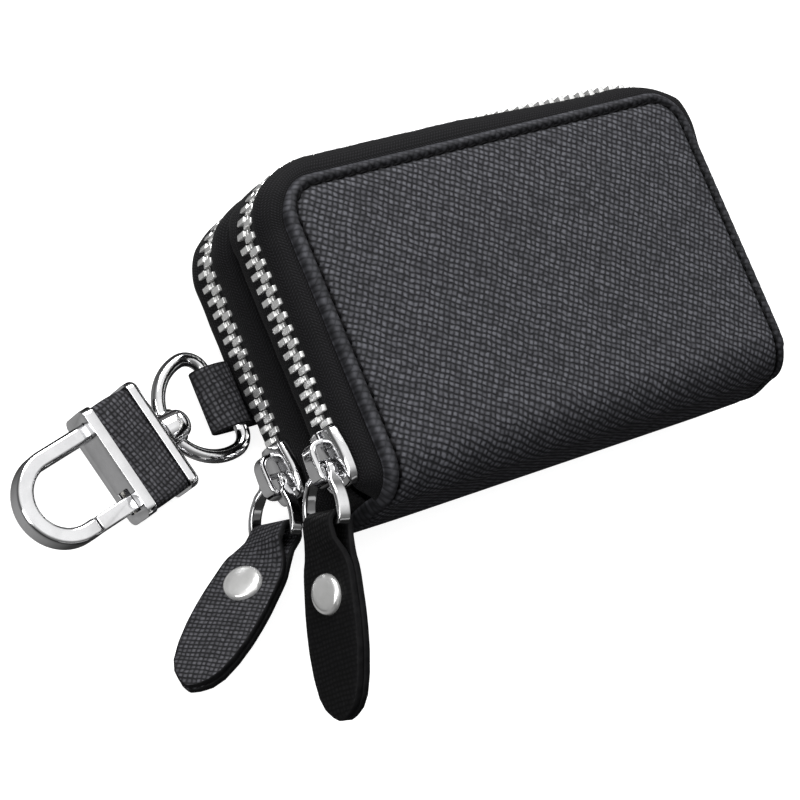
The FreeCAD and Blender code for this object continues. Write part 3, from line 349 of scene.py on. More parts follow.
def gridFaces(rows, cols, start, flip):
    faces = []
    for row in range(rows - 1):
        for col in range(cols - 1):
            at = start + row * cols + col
            quad = (at, at + 1, at + cols + 1, at + cols)
            faces.append(quad[::-1] if flip else quad)
    return faces


# Faces of a sheet with two skins, whose points come one skin after the other.
def skinFaces(rows, cols, front):
    count = rows * cols
    faces = gridFaces(rows, cols, 0, front) + gridFaces(rows, cols, count, not front)
    border = list(range(cols)) + [row * cols + cols - 1 for row in range(1, rows)]
    border += [(rows - 1) * cols + col for col in range(cols - 2, -1, -1)]
    border += [row * cols for row in range(rows - 2, 0, -1)]
    for here, there in zip(border, border[1:] + border[:1]):
        first, second = (here, there) if front else (there, here)
        faces.append((first, second, second + count, first + count))
    return faces


# Faces of a closed bar made of rings of points.
def barFaces(rows, ring, start=0):
    faces = []
    for row in range(rows - 1):
        for col in range(ring):
            here = start + row * ring + col
            there = start + row * ring + (col + 1) % ring
            faces.append((here, there, there + ring, here + ring))
    last = start + (rows - 1) * ring
    return faces + [tuple(range(start, start + ring))[::-1], tuple(range(last, last + ring))]


def flipped(faces):
    return [face[::-1] for face in faces]


def smoothLine(points, steps):
    points = [Vector(point) for point in points]
    line = []
    for i in range(len(points) - 1):
        before = points[max(i - 1, 0)]
        here, there = points[i], points[i + 1]
        after = points[min(i + 2, len(points) - 1)]
        for j in range(steps):
            t = j / steps
            line.append(0.5 * ((2 * here) + (there - before) * t
                               + (2 * before - 5 * here + 4 * there - after) * t * t
                               + (3 * here - before - 3 * there + after) * t ** 3))
    line.append(points[-1])
    return line


strips = {"acrossSteps": 8, "cornerSteps": 3, "fullest": 0.98, "wornIn": 0.9, "wornOver": 0.5,
          "edgeShare": 0.6, "sharp": 60}


# A rounded rectangle, with extra points along its two wide faces.
def roundSection(halfWide, halfThick, radius):
    radius = min(radius, halfThick * strips["fullest"], halfWide * strips["fullest"])
    turn, across = strips["cornerSteps"], strips["acrossSteps"]
    points = []
    for i, (right, up) in enumerate(((1, 1), (-1, 1), (-1, -1), (1, -1))):
        for j in range(turn + 1):
            angle = math.radians(90 * (i + j / turn))
            points.append((right * (halfWide - radius) + radius * math.cos(angle),
                           up * (halfThick - radius) + radius * math.sin(angle)))
        if right == up:
            x, y = points[-1]
            points += [(x - 2 * x * j / across, y) for j in range(1, across)]
    return points


# A strip through stations of (centre, wide axis, thick axis, half width, half thickness, run).
def loftStrip(name, stations, materials, body, hides, radius, worn):
    points, grain, wear, kinds = [], [], [], []
    for centre, wideAxis, upAxis, halfWide, halfThick, run in stations:
        section = roundSection(halfWide, halfThick, radius)
        for across, up in section:
            points.append((centre + wideAxis * across + upAxis * up) * mm)
            grain.append((across - up, run, 0.0))
            atEdge = abs(across) > halfWide - strips["wornIn"] and abs(up) > halfThick * strips["wornOver"]
            wear.append(worn if atEdge else 0.0)
            onSide = abs(across) > halfWide - radius * strips["edgeShare"]
            kinds.append(1 if onSide and len(materials) > 1 else 0)
    ring = len(section)
    kinds = kinds[:-ring] + [len(materials) - 1] * 2
    addPiece(name, points, barFaces(len(stations), ring), materials, body, hides, grain, wear,
             kinds, strips["sharp"])


# Stations along a smooth curve, for a strip that is wide along one axis, by a function of the place.
def followCurve(points, steps, wideAxis, halfWide, halfThick, turn=Matrix.Identity(3),
                base=Vector((0, 0, 0))):
    curve = smoothLine(points, steps)
    stations, run = [], 0.0
    for i, spot in enumerate(curve):
        ahead = (curve[min(i + 1, len(curve) - 1)] - curve[max(i - 1, 0)]).normalized()
        if i:
            run += (spot - curve[i - 1]).length
        stations.append((base + turn @ spot, turn @ wideAxis, turn @ wideAxis.cross(ahead), halfWide(spot),
                         halfThick, run))
    return stations


# Leather covers: panel, rolled rim, stitch groove and the wrap into the spine. Lengths are in mm.
case = {"halfLong": 48.0, "halfWide": 30.0, "thick": 34.0, "corner": 8.0, "wrap": 8.0,
        "skin": 2.3, "lap": 0.999, "roll": 1.5, "bead": 0.3, "seamIn": 2.3, "seamDeep": 0.5, "seamWide": 0.48,
        "crown": 0.9, "shoulder": 0.35, "shoulderFrom": 2.5, "shoulderTo": 4.6,
        "domeFrom": 3.2, "domeTo": 18.0, "spineFlat": 0.75,
        "lump": 0.1, "lumpFrom": 4.0, "lumpTo": 10.0, "lumpSeed": 1.3, "backClear": 0.02,
        "spineSwell": 2.4, "swellFrom": 2.0, "spinePuff": 1.0,
        "press": 0.62, "pressFrom": 1.2, "pressTo": 2.6,
        "frontHinge": 26.3, "backHinge": 9.3, "bendReach": 2.3, "sharp": 62}
case["flat"] = case["halfWide"] * 2 - case["wrap"]
case["arc"] = case["wrap"] * math.pi / 2
case["spine"] = case["thick"] / 2 - case["wrap"]
case["end"] = case["flat"] + case["arc"] + case["spine"]
coverSteps = {"edge": [0, 0.1, 0.26, 0.48, 0.78, 1.1, 1.4, 1.65, 1.88, 2.08, 2.24, 2.4, 2.58, 2.8, 3.1, 3.6,
                       4.5, 6.0, 8.2, 11.0, 14.5, 19.0],
              "panel": [24, 29, 34, 39, 43.5, 47.5, 50], "ends": [24.5, 30.5, 36.5, 42.5],
              "arc": 12, "spine": 18}
# Marks painted into the covers' colour: painted shade in the stitch groove and over the rolled rim, and a
# rubbed edge that is partly a painted highlight and fades out towards the spine.
edgeWearAndPaintedShade = {"seamShade": 0.95, "seamShadeWide": 0.45, "shade": 0.62, "shadeFrom": 1.8, "shadeTo": 2.8,
            "rub": 0.5, "rubIn": 0.55, "rubHighlightWide": 0.35, "highlightFadeFrom": 4, "highlightFadeTo": 9}


def bellAt(value, middle, wide):
    return math.exp(-((value - middle) / wide) ** 2)


# Place and outward normal, in the YZ plane, of the cover's skin at a run measured from its top edge.
def coverProfile(run):
    past = run - case["flat"]
    if past <= 0:
        return case["halfWide"] - run, case["thick"], 0.0, 1.0
    base, top = case["wrap"] - case["halfWide"], case["thick"] - case["wrap"]
    if past <= case["arc"]:
        angle = past / case["wrap"]
        out, up = math.sin(angle), math.cos(angle)
        return base - case["wrap"] * out, top + case["wrap"] * up, -out, up
    down = past - case["arc"]
    return -case["halfWide"] - case["spinePuff"] * smoothstep(down, 0, case["spine"]), top - down, -1.0, 0.0


def rimHalf(run):
    corner = case["corner"]
    if run >= corner:
        swell = smoothstep(run, case["flat"] + case["swellFrom"], case["end"])
        return case["halfLong"] + case["spineSwell"] * swell
    return case["halfLong"] - corner + math.sqrt(max(corner ** 2 - (corner - run) ** 2, 0))


def rimDistance(x, run):
    inX, inRun = case["halfLong"] - case["corner"], case["corner"]
    if abs(x) > inX and run < inRun:
        return case["corner"] - math.hypot(abs(x) - inX, inRun - run)
    return min(rimHalf(run) - abs(x), run)


unevenness = {"shortX": 0.21, "shortY": 0.17, "longX": 0.09, "longY": 0.13, "long": 0.6}


# Gentle unevenness, from -1 to 1.
def lumps(x, y, seed):
    rates = unevenness
    short = math.sin(x * rates["shortX"] + seed) * math.cos(y * rates["shortY"] - seed * 0.7)
    long = math.sin(x * rates["longX"] - y * rates["longY"] + seed * 2)
    return (short + rates["long"] * long) / (1 + rates["long"])


def skinLift(x, run, front):
    inset = max(rimDistance(x, run), 0.0)
    roll = case["roll"]
    lift = math.sqrt(roll ** 2 - (roll - inset) ** 2) - roll if inset < roll else 0.0
    lift -= case["seamDeep"] * bellAt(inset, case["seamIn"], case["seamWide"])
    turned = smoothstep(run, case["flat"], case["flat"] + case["arc"])
    dome = smoothstep(inset, case["domeFrom"], case["domeTo"]) * (1 - turned * case["spineFlat"])
    puff = blendOf(dome, smoothstep(inset, case["shoulderFrom"], case["shoulderTo"]), case["shoulder"])
    swell = case["crown"] * puff + case["bead"] * math.sin(math.pi * min(inset / case["seamIn"], 1.0))
    uneven = lumps(x, min(run, case["flat"]), case["lumpSeed"]) * (1 - turned)
    swell += case["lump"] * uneven * smoothstep(inset, case["lumpFrom"], case["lumpTo"])
    return lift + swell if front else lift + swell * turned - case["backClear"] * (1 - turned)


# A rubbed edge, partly a painted highlight, less the painted shade of the stitch groove and the rolled rim.
def skinWearAndPaintedShade(x, run):
    inset = max(rimDistance(x, run), 0.0)
    seamShade = edgeWearAndPaintedShade["seamShade"] * bellAt(inset, case["seamIn"], edgeWearAndPaintedShade["seamShadeWide"])
    shade = edgeWearAndPaintedShade["shade"] * (1 - smoothstep(inset, edgeWearAndPaintedShade["shadeFrom"], edgeWearAndPaintedShade["shadeTo"]))
    spineward = smoothstep(run - case["flat"], edgeWearAndPaintedShade["highlightFadeFrom"], edgeWearAndPaintedShade["highlightFadeTo"])
    rub = edgeWearAndPaintedShade["rub"] * bellAt(inset, edgeWearAndPaintedShade["rubIn"], edgeWearAndPaintedShade["rubHighlightWide"]) * (1 - spineward)
    return rub - max(seamShade, shade)


def bendSkin(piece):
    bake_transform(piece)


def makeCover(name, front, hides):
    turn = [case["flat"] + case["arc"] * i / coverSteps["arc"] for i in range(coverSteps["arc"] + 1)]
    down = [turn[-1] + case["spine"] * i / coverSteps["spine"] for i in range(1, coverSteps["spine"] + 1)]
    runs = coverSteps["edge"] + coverSteps["panel"] + turn + down
    half = [inset / case["halfLong"] - 1 for inset in coverSteps["edge"] + coverSteps["ends"]]
    columns = half + [0] + [-share for share in reversed(half)]
    points, grain, wear = [], [], []
    for inner in (False, True):
        for run in runs:
            y, z, outY, outZ = coverProfile(run)
            for share in columns:
                x = share * rimHalf(run) * (case["lap"] if inner else 1.0)
                lift = -case["skin"] if inner else skinLift(x, run, front)
                high = z + outZ * lift
                points.append((x * mm, (y + outY * lift) * mm,
                               (high if front else case["thick"] - high) * mm))
                rim = 1 - smoothstep(rimDistance(x, run), case["pressFrom"], case["pressTo"])
                grain.append((x, -run, case["press"] * rim))
                wear.append(0.0 if inner else skinWearAndPaintedShade(x, run))
    rows, cols = len(runs), len(columns)
    faces = skinFaces(rows, cols, front)
    quads = (rows - 1) * (cols - 1)
    kinds = [0] * quads + [1] * quads + [0] * (len(faces) - 2 * quads)
    piece = addPiece(name, points, faces, [leather, liningCloth], None, (), grain, wear, kinds,
                     case["sharp"])
    bendSkin(piece)
    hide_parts(*hides)


makeCover("front_cover_leather", True, ("front_panel", "spine_panel"))
makeCover("back_cover_leather", False, ("back_panel",))

stitch = {"pitch": 2.5, "long": 2.1, "thick": 0.27, "tilt": 7.0, "sway": 2.0, "proud": 0.14, "dip": 0.24,
          "sides": 8, "foot": 0.8,
          "rings": [(-0.5, 0.25), (-0.42, 0.75), (-0.22, 1.0), (0.22, 1.0), (0.42, 0.75), (0.5, 0.25)]}
seamRadius = case["corner"] - case["seamIn"]
seamBend = seamRadius * math.pi / 2
seamSide = case["end"] - case["corner"] - stitch["foot"]
seamTop = (case["halfLong"] - case["corner"]) * 2


# Place (x, run) and heading of the stitch line, which runs up one end, along the top and down the other.
def seamPoint(distance):
    inX = case["halfLong"] - case["corner"]
    half = seamSide + seamBend + seamTop / 2
    side = -1 if distance < half else 1
    left = distance if side < 0 else 2 * half - distance
    if left < seamSide:
        run = case["corner"] + seamSide - left
        return side * (rimHalf(run) - case["seamIn"]), run, 0.0, float(side)
    left -= seamSide
    if left < seamBend:
        angle = left / seamRadius
        x, run = inX + seamRadius * math.cos(angle), case["corner"] - seamRadius * math.sin(angle)
        return side * x, run, math.sin(angle), side * math.cos(angle)
    return side * (inX - left + seamBend), case["seamIn"], 1.0, 0.0


def makeStitches(name, front):
    total = 2 * (seamSide + seamBend) + seamTop
    count = int(total / stitch["pitch"])
    sides = stitch["sides"]
    points, grain, faces = [], [], []
    for i in range(count):
        x, run, headX, headRun = seamPoint((i + 0.5) * total / count)
        y, z, outY, outZ = coverProfile(run)
        normal = Vector((0, outY, outZ))
        heading = Vector((headX, -outZ * headRun, outY * headRun)).normalized()
        tilt = math.radians(stitch["tilt"] + random.uniform(-stitch["sway"], stitch["sway"]))
        along = Matrix.Rotation(tilt, 3, normal) @ heading
        across = normal.cross(along)
        middle = Vector((x, y, z)) + normal * (stitch["proud"] - case["seamDeep"])
        loops = barFaces(len(stitch["rings"]), sides, len(points))
        faces += loops if front else flipped(loops)
        for share, swell in stitch["rings"]:
            out = stitch["thick"] * swell
            dip = stitch["dip"] * (abs(share) * 2) ** 3
            centre = middle + along * (share * stitch["long"]) - normal * dip
            for j in range(sides):
                angle = 2 * math.pi * j / sides
                spot = centre + across * (out * math.cos(angle)) + normal * (out * math.sin(angle))
                points.append((spot.x * mm, spot.y * mm, (spot.z if front else case["thick"] - spot.z) * mm))
                grain.append((spot.x, spot.y, 0))
    piece = addPiece(name, points, faces, [thread], None, (), grain)
    bendSkin(piece)


makeStitches("front_stitches", True)
makeStitches("back_stitches", False)
print("covers ready")


# Zip tapes and teeth.
zips = {"chain": {"front": 25.5, "back": 8.5}, "offset": 3.6, "start": -27.3, "drawnX": 5.0, "drawnY": 0.7,
        "flange": 3.0, "outerBend": 3.4, "bendSteps": 9, "edge": 1.3, "outerSeat": 31.18, "innerSeat": 18.02,
        "innerFlat": -1.0, "innerSteps": 3,
        "innerCurve": [(0.6, 0), (1.9, 0.25), (3.1, 1.25), (3.7, 2.7), (3.8, 4.2), (3.62, 5.4), (3.6, 6.18)],
        "half": 0.36, "edgeBead": 0.18, "steps": 230, "past": 1.4, "tuck": 3.0, "tuckTo": 0.25,
        "squeezeTo": 0.12, "ripple": 0.07, "rippleRun": 7.5, "slowRipple": 0.6, "slowRate": 0.37,
        "rippleShare": 0.6, "bulgeAt": [0, 22.5, 32, 49, 58, 72, 105, 140, 158, 175, 200, 215],
        "footBulge": 0.2, "farCorner": 0.8, "sharp": 55,
        "bulge": {"front_tape_outer": (0.4, 1.9, 1.0, -0.9), "front_tape_inner": (0.15, 1.6, 0.8, 0.5),
                  "back_tape_inner": (0.15, 1.6, 0.8, 0.5), "back_tape_outer": (1.8, 2.2, 1.2, 0.8)},
        "seed": {"front_tape_outer": 0.4, "front_tape_inner": 1.7, "back_tape_inner": 2.9,
                 "back_tape_outer": 4.2}}
zipBend = (case["corner"] + zips["offset"]) * math.pi / 2
zipLength = 2 * (case["halfWide"] - case["corner"] - zips["start"] + zipBend
                 + case["halfLong"] - case["corner"])


# Place, heading and outward normal along the zip, whose chain cuts each corner a little more than the panel.
def zipPath(distance, offset):
    share = min(max(offset / zips["offset"], 0.0), 1.0)
    drawnX, drawnY = zips["drawnX"] * share, zips["drawnY"] * share
    wide, high = case["corner"] + offset + drawnX, case["corner"] + offset + drawnY
    inX, inY = case["halfLong"] - case["corner"] - drawnX, case["halfWide"] - case["corner"] - drawnY
    turning = zipBend + drawnX + drawnY
    left = inY - zips["start"]
    if distance < left:
        spot = Vector((-case["halfLong"] - offset, zips["start"] + distance, 0))
        return spot, Vector((0, 1, 0)), Vector((-1, 0, 0))
    distance -= left
    side = -1
    if distance >= turning:
        distance -= turning
        if distance < 2 * inX:
            spot = Vector((-inX + distance, case["halfWide"] + offset, 0))
            return spot, Vector((1, 0, 0)), Vector((0, 1, 0))
        distance = turning - (distance - 2 * inX)
        side = 1
        if distance < 0:
            spot = Vector((case["halfLong"] + offset, inY + distance, 0))
            return spot, Vector((0, -1, 0)), Vector((1, 0, 0))
    angle = distance / turning * math.pi / 2
    spot = Vector((side * (inX + wide * math.cos(angle)), inY + high * math.sin(angle), 0))
    heading = Vector((wide * math.sin(angle), -side * high * math.cos(angle), 0)).normalized()
    return spot, heading, Vector((-heading.y, heading.x, 0))


# How far the tape stands out, from its (left end, corner, top, far end) bulges.
def bulgeAt(distance, bulge):
    left, corner, top, far = bulge
    heights = [0, left * zips["footBulge"], left, left, corner, top, top, far, corner * zips["farCorner"],
               far, far, 0]
    return float(np.interp(distance, zips["bulgeAt"], heights))


# The tape's cross sections as (out from the panel's edge, z).
def outerLine():
    bend, seat = zips["outerBend"], zips["outerSeat"]
    turn = zips["offset"] - bend
    line = [(-zips["flange"], seat), ((turn - zips["flange"]) / 2, seat), (turn, seat)]
    for i in range(1, zips["bendSteps"] + 1):
        angle = math.pi / 2 * i / zips["bendSteps"]
        line.append((turn + bend * math.sin(angle), seat - bend + bend * math.cos(angle)))
    edge = zips["chain"]["front"] + zips["edge"]
    return line + [(zips["offset"], blendOf(seat - bend, edge, i / 3)) for i in (1, 2, 3)]


def innerLine():
    seat = zips["innerSeat"]
    curve = smoothLine([(out, 0, up) for out, up in zips["innerCurve"]], zips["innerSteps"])
    return [(-zips["flange"], seat), (zips["innerFlat"], seat)] + [(spot.x, seat + spot.z) for spot in curve]


def flipLine(line):
    return [(out, case["thick"] - z) for out, z in line]


# How much of a cover tape's height is left where the cover turns into the spine.
def squeezeAt(y, deep):
    wrap = case["wrap"]
    if y >= wrap - case["halfWide"]:
        return 1.0
    drop = wrap - math.sqrt(max(wrap ** 2 - (y + case["halfWide"] - wrap) ** 2, 0))
    return max(1 - drop / deep, zips["squeezeTo"])


def makeTape(node, line, body, side):
    count, reach = len(line), zips["past"]
    seed, bulge = zips["seed"][node], zips["bulge"][node]
    run, normals = [0.0], []
    for here, there in zip(line, line[1:]):
        run.append(run[-1] + math.dist(here, there))
    for i in range(count):
        (outA, upA), (outB, upB) = line[max(i - 1, 0)], line[min(i + 1, count - 1)]
        ahead = Vector((outB - outA, upB - upA)).normalized()
        normals.append(Vector((-ahead.y, ahead.x)) * side)
    seat, edge = line[0][1], line[-1][1]
    points, grain, faces = [], [], []
    rows = zips["steps"] + 1
    for row in range(rows):
        distance = (zipLength + 2 * reach) * row / zips["steps"] - reach
        ends = min(distance, zipLength - distance)
        tuck = blendOf(zips["tuckTo"], 1, smoothstep(ends, -reach, zips["tuck"]))
        squeeze = 1.0 if body == "middle" else squeezeAt(zipPath(distance, 0)[0].y, abs(seat - edge))
        quick = math.sin(distance * 2 * math.pi / zips["rippleRun"] + seed)
        slow = zips["slowRipple"] * math.sin(distance * zips["slowRate"] + seed * 3)
        for layer in (1, -1):
            for i, (offset, z) in enumerate(line):
                swell = math.sin(math.pi * run[i] / run[-1])
                wave = zips["ripple"] * swell ** 2 * (quick + slow)
                bead = zips["edgeBead"] if i >= count - 2 else 0.0
                push = layer * (zips["half"] + bead) + wave * zips["rippleShare"]
                push += bulgeAt(distance, bulge) * swell
                out = offset + normals[i].x * push
                spot = zipPath(distance, out * tuck if offset > 0 else out)[0]
                high = blendOf(edge, z + normals[i].y * push, squeeze)
                points.append((spot.x * mm, spot.y * mm, high * mm))
                grain.append((distance, run[i], 0))
    width = 2 * count
    loop = list(range(count)) + list(reversed(range(count, width)))
    for row in range(rows - 1):
        start = row * width
        for here, there in zip(loop, loop[1:] + loop[:1]):
            quad = (start + here, start + there, start + width + there, start + width + here)
            faces.append(quad if side > 0 else quad[::-1])
    for row, forward in ((0, side > 0), (rows - 1, side < 0)):
        for at in range(row * width, row * width + count - 1):
            quad = (at, at + count, at + count + 1, at + 1)
            faces.append(quad if forward else quad[::-1])
    addPiece(node + "_cloth", points, faces, [tapeCloth], body, (node,), grain,
             sharp=zips["sharp"])


makeTape("front_tape_outer", outerLine(), "front_shell", 1)
makeTape("front_tape_inner", innerLine(), "middle", -1)
makeTape("back_tape_inner", flipLine(innerLine()), "middle", 1)
makeTape("back_tape_outer", flipLine(outerLine()), "back_shell", -1)

tooth = {"pitch": 2.54, "foot": 8.0, "round": 0.2, "roundSteps": 3, "roundness": 0.6, "sharp": 70,
         "samples": 1500, "clamp": {"thick": 1.16, "deep": 2.4, "from": 0.25, "to": 2.75},
         "head": {"thick": 1.0, "deep": 1.7, "from": -0.72, "to": 0.5}}
sliders = {"y": {"front": -19.2, "back": -16.2}, "long": 10.8, "gap": 1.0, "stopRound": 0.2}

# Distances along the zip, and the true length of the chain up to each.
chainMarks = np.linspace(0, zipLength, tooth["samples"])
chainSpots = np.array([zipPath(mark, zips["offset"])[0] for mark in chainMarks])
chainRuns = np.concatenate([[0], np.cumsum(np.linalg.norm(np.diff(chainSpots, axis=0), axis=1))])


def toothForm():
    shape = bmesh.new()
    for form in (tooth["clamp"], tooth["head"]):
        middle, long = (form["from"] + form["to"]) / 2, form["to"] - form["from"]
        for corner in bmesh.ops.create_cube(shape, size=1.0)["verts"]:
            x, y, z = corner.co
            corner.co = Vector((x * form["thick"], y * form["deep"], middle + z * long))
    bmesh.ops.bevel(shape, geom=shape.edges[:], offset=tooth["round"], segments=tooth["roundSteps"],
                    affect="EDGES", profile=tooth["roundness"])
    points = np.array([vertex.co for vertex in shape.verts])
    shape.verts.index_update()
    faces = [tuple(vertex.index for vertex in face.verts) for face in shape.faces]
    shape.free()
    return points, faces


def makeTeeth(node, chain, side, first, body):
    form, formFaces = toothForm()
    count = int((chainRuns[-1] - tooth["foot"] - first[0]) / tooth["pitch"]) + 1
    points, faces = [], []
    for i in range(count):
        place = float(np.interp(sum(first) + i * tooth["pitch"], chainRuns, chainMarks))
        spot, heading, out = zipPath(place, zips["offset"])
        start = len(points)
        faces += [tuple(start + corner for corner in face) for face in formFaces]
        for x, y, z in form:
            corner = spot + heading * (x * side) + out * y
            points.append((corner.x * mm, corner.y * mm, (chain + side * z) * mm))
    addPiece(node + "_row", points, faces, [zipMetal], body, (node,), sharp=tooth["sharp"])


for label, chain in zips["chain"].items():
    start = sliders["y"][label] + sliders["long"] / 2 + sliders["gap"] - zips["start"]
    outward = 1 if label == "front" else -1
    makeTeeth(label + "_teeth_outer", chain, outward, (start, 0), label + "_shell")
    makeTeeth(label + "_teeth_inner", chain, -outward, (start, tooth["pitch"] / 2), "middle")
    bevelledCopy(label + "_zip_stop", sliders["stopRound"], zipMetal)
print("zips ready")


# Sliders: two shells of (along, half width) rings, the wedge between them, and the cap that holds the bail.
sliderForm = {"outline": [(-5.4, 3.05), (-5.25, 3.5), (-4.8, 4.1), (-4.0, 4.6), (-2.8, 4.88), (-1.0, 4.95),
                          (0.8, 4.86), (2.4, 4.5), (3.8, 4.15), (4.9, 3.9), (5.3, 3.6), (5.4, 3.2)],
              "wall": 0.85, "room": 2.88, "top": 2.42, "slot": 0.74, "under": 1.5, "inner": 4.05,
              "innerSlot": 1.18, "lip": 0.5,
              "shoulder": [(0.06, 1.72), (0.22, 2.02), (0.5, 2.24), (0.9, 2.36)],
              "dome": 0.42, "domeIn": 1.3, "domeAt": (-0.9, -0.66, -0.33, 0, 0.33, 0.66, 0.9),
              "wedge": [(-5.3, 1.0), (-4.0, 1.0), (0.0, 0.05)], "wedgeHigh": 1.55, "sharp": 42,
              "capReach": 3.6, "capRear": 1.55, "capFront": 2.0, "capThick": 0.5, "capRound": 0.32,
              "capSteps": 4, "cap": [(3.6, 2.2), (3.62, 3.6), (3.35, 4.8), (2.5, 5.55), (1.2, 5.74)]}
endTurn = Matrix(((0, 0, -1), (1, 0, 0), (0, -1, 0)))  # slider's (along, across, out) to the case's left end


def shellRing(half, side):
    form = sliderForm
    low = form["slot"] if side > 0 else form["innerSlot"]
    wall = min(form["wall"], half - form["room"])
    left = [(-half, low), (-half, low + form["lip"])] + [(inset - half, up) for inset, up in form["shoulder"]]
    flat = half - form["domeIn"]
    dome = [(flat * at, form["top"] + form["dome"] * (1 - at * at)) for at in form["domeAt"]]
    ring = left + (dome if side > 0 else []) + [(-y, z) for y, z in reversed(left)]
    ring += [(half - wall, low), (half - wall, form["under"])]
    ring += [(wall - half, form["under"]), (wall - half, low)]
    return [(y, side * z) for y, z in ring]


def makeSlider(label):
    form = sliderForm
    points, faces = [], []
    for side in (1, -1):
        start = len(points)
        for x, half in form["outline"]:
            ring = shellRing(half if side > 0 else min(half, form["inner"]), side)
            points += [(x, y, z) for y, z in ring]
        shell = barFaces(len(form["outline"]), len(ring), start)
        faces += shell if side > 0 else flipped(shell)
    faces += flipped(barFaces(len(form["wedge"]), 4, len(points)))
    high = form["wedgeHigh"]
    for x, half in form["wedge"]:
        points += [(x, -half, -high), (x, half, -high), (x, half, high), (x, -half, high)]
    base = Vector((-case["halfLong"] - zips["offset"], sliders["y"][label], zips["chain"][label]))
    placed = [(base + endTurn @ Vector(point)) * mm for point in points]
    addPiece(label + "_slider_shell", placed, faces, [chrome], label + "_slider",
             (label + "_slider",), sharp=form["sharp"])
    arch = [(x, 0, z) for x, z in form["cap"]] + [(-x, 0, z) for x, z in reversed(form["cap"])]
    reach = form["capReach"]
    stations = followCurve(
        arch, form["capSteps"], Vector((0, 1, 0)),
        lambda spot: blendOf(form["capRear"], form["capFront"], (reach - spot.x) / (2 * reach)),
        form["capThick"], endTurn, base)
    loftStrip(label + "_slider_cap", stations, [chrome], label + "_slider", (), form["capRound"], 0)


for label in ("front", "back"):
    makeSlider(label)

# Pulls: how each bail and tab hangs, in degrees, and the leaf's (share of length, width, twist).
pulls = {"long": 33.8, "neck": 9.6, "wide": 13.4, "layer": 1.44, "apart": 0.03, "foldLayer": 1.08,
         "foldRadius": 1.95, "foldSteps": 8, "leafFrom": 2.5, "easeFrom": 0.6, "easeTo": 6.5, "tipFrom": 0.93,
         "tipThin": 0.35, "tipLeast": 0.5, "round": 0.4, "worn": 0.1, "bail": 10.6, "axisX": -55.5,
         "front": {"swing": 13.0, "droop": 11.0, "roll": 0.0, "tabSwing": 0.0, "twist": 12.0},
         "back": {"swing": 16.5, "droop": 8.9, "roll": 10.0, "tabSwing": 37.5, "twist": 28.0}}
leafShape = [(-0.1, 0.0, 0.0), (0.0, 0.2, 0.0), (0.06, 0.42, 0.4), (0.14, 0.62, 0.9), (0.2, 0.74, 1.0),
             (0.4, 0.98, 1.0), (0.5, 1.0, 1.0), (0.62, 0.92, 1.0), (0.76, 0.6, 1.0), (0.87, 0.08, 1.0),
             (0.94, -0.65, 1.0), (0.985, -1.6, 1.0), (1.0, -2.25, 1.0)]
leafSteps = [1.0, 0.992, 0.98, 0.96, 0.935, 0.905] + [0.87 - 0.04 * i for i in range(22)] + [0.0]


def spin(degrees, axis):
    return Matrix.Rotation(math.radians(degrees), 3, axis)


def bailPlace(label):
    hang = pulls[label]
    turn = endTurn @ spin(hang["swing"], "Y") @ spin(-hang["droop"], "Z") @ spin(hang["roll"], "X")
    return Vector((pulls["axisX"], sliders["y"][label], zips["chain"][label])), turn


def tabPlace(label):
    axis, turn = bailPlace(label)
    return axis + turn @ Vector((-pulls["bail"], 0, 0)), turn @ spin(pulls[label]["tabSwing"], "Y")


# Half of the bail's loop as (along, across), from the middle of its foot to the middle of its top bar.
bail = {"half": [(-10.6, 0.0), (-10.6, 2.6), (-10.6, 4.8), (-10.25, 5.75), (-9.2, 6.12), (-7.2, 6.0),
                 (-5.2, 5.3), (-3.4, 4.1), (-1.9, 3.2), (-0.7, 2.86), (-0.1, 2.2), (0.0, 1.2), (0.0, 0.0)],
        "strip": 1.08, "band": 2.4, "topBand": 1.2, "neckFrom": -3.4, "neckTo": -1.8, "round": 0.3,
        "steps": 5}


def bailHalf(spot):
    return blendOf(bail["band"], bail["topBand"], smoothstep(spot.x, bail["neckFrom"], bail["neckTo"])) / 2


def makeBail(label):
    axis, turn = bailPlace(label)
    loop = bail["half"] + [(x, -y) for x, y in reversed(bail["half"][:-1])]
    stations = followCurve([(x, y, 0) for x, y in loop], bail["steps"], Vector((0, 0, 1)), bailHalf,
                           bail["strip"] / 2, turn, axis)
    loftStrip(label + "_bail_strip", stations, [chrome], label + "_bail", (label + "_bail",),
              bail["round"], 0)


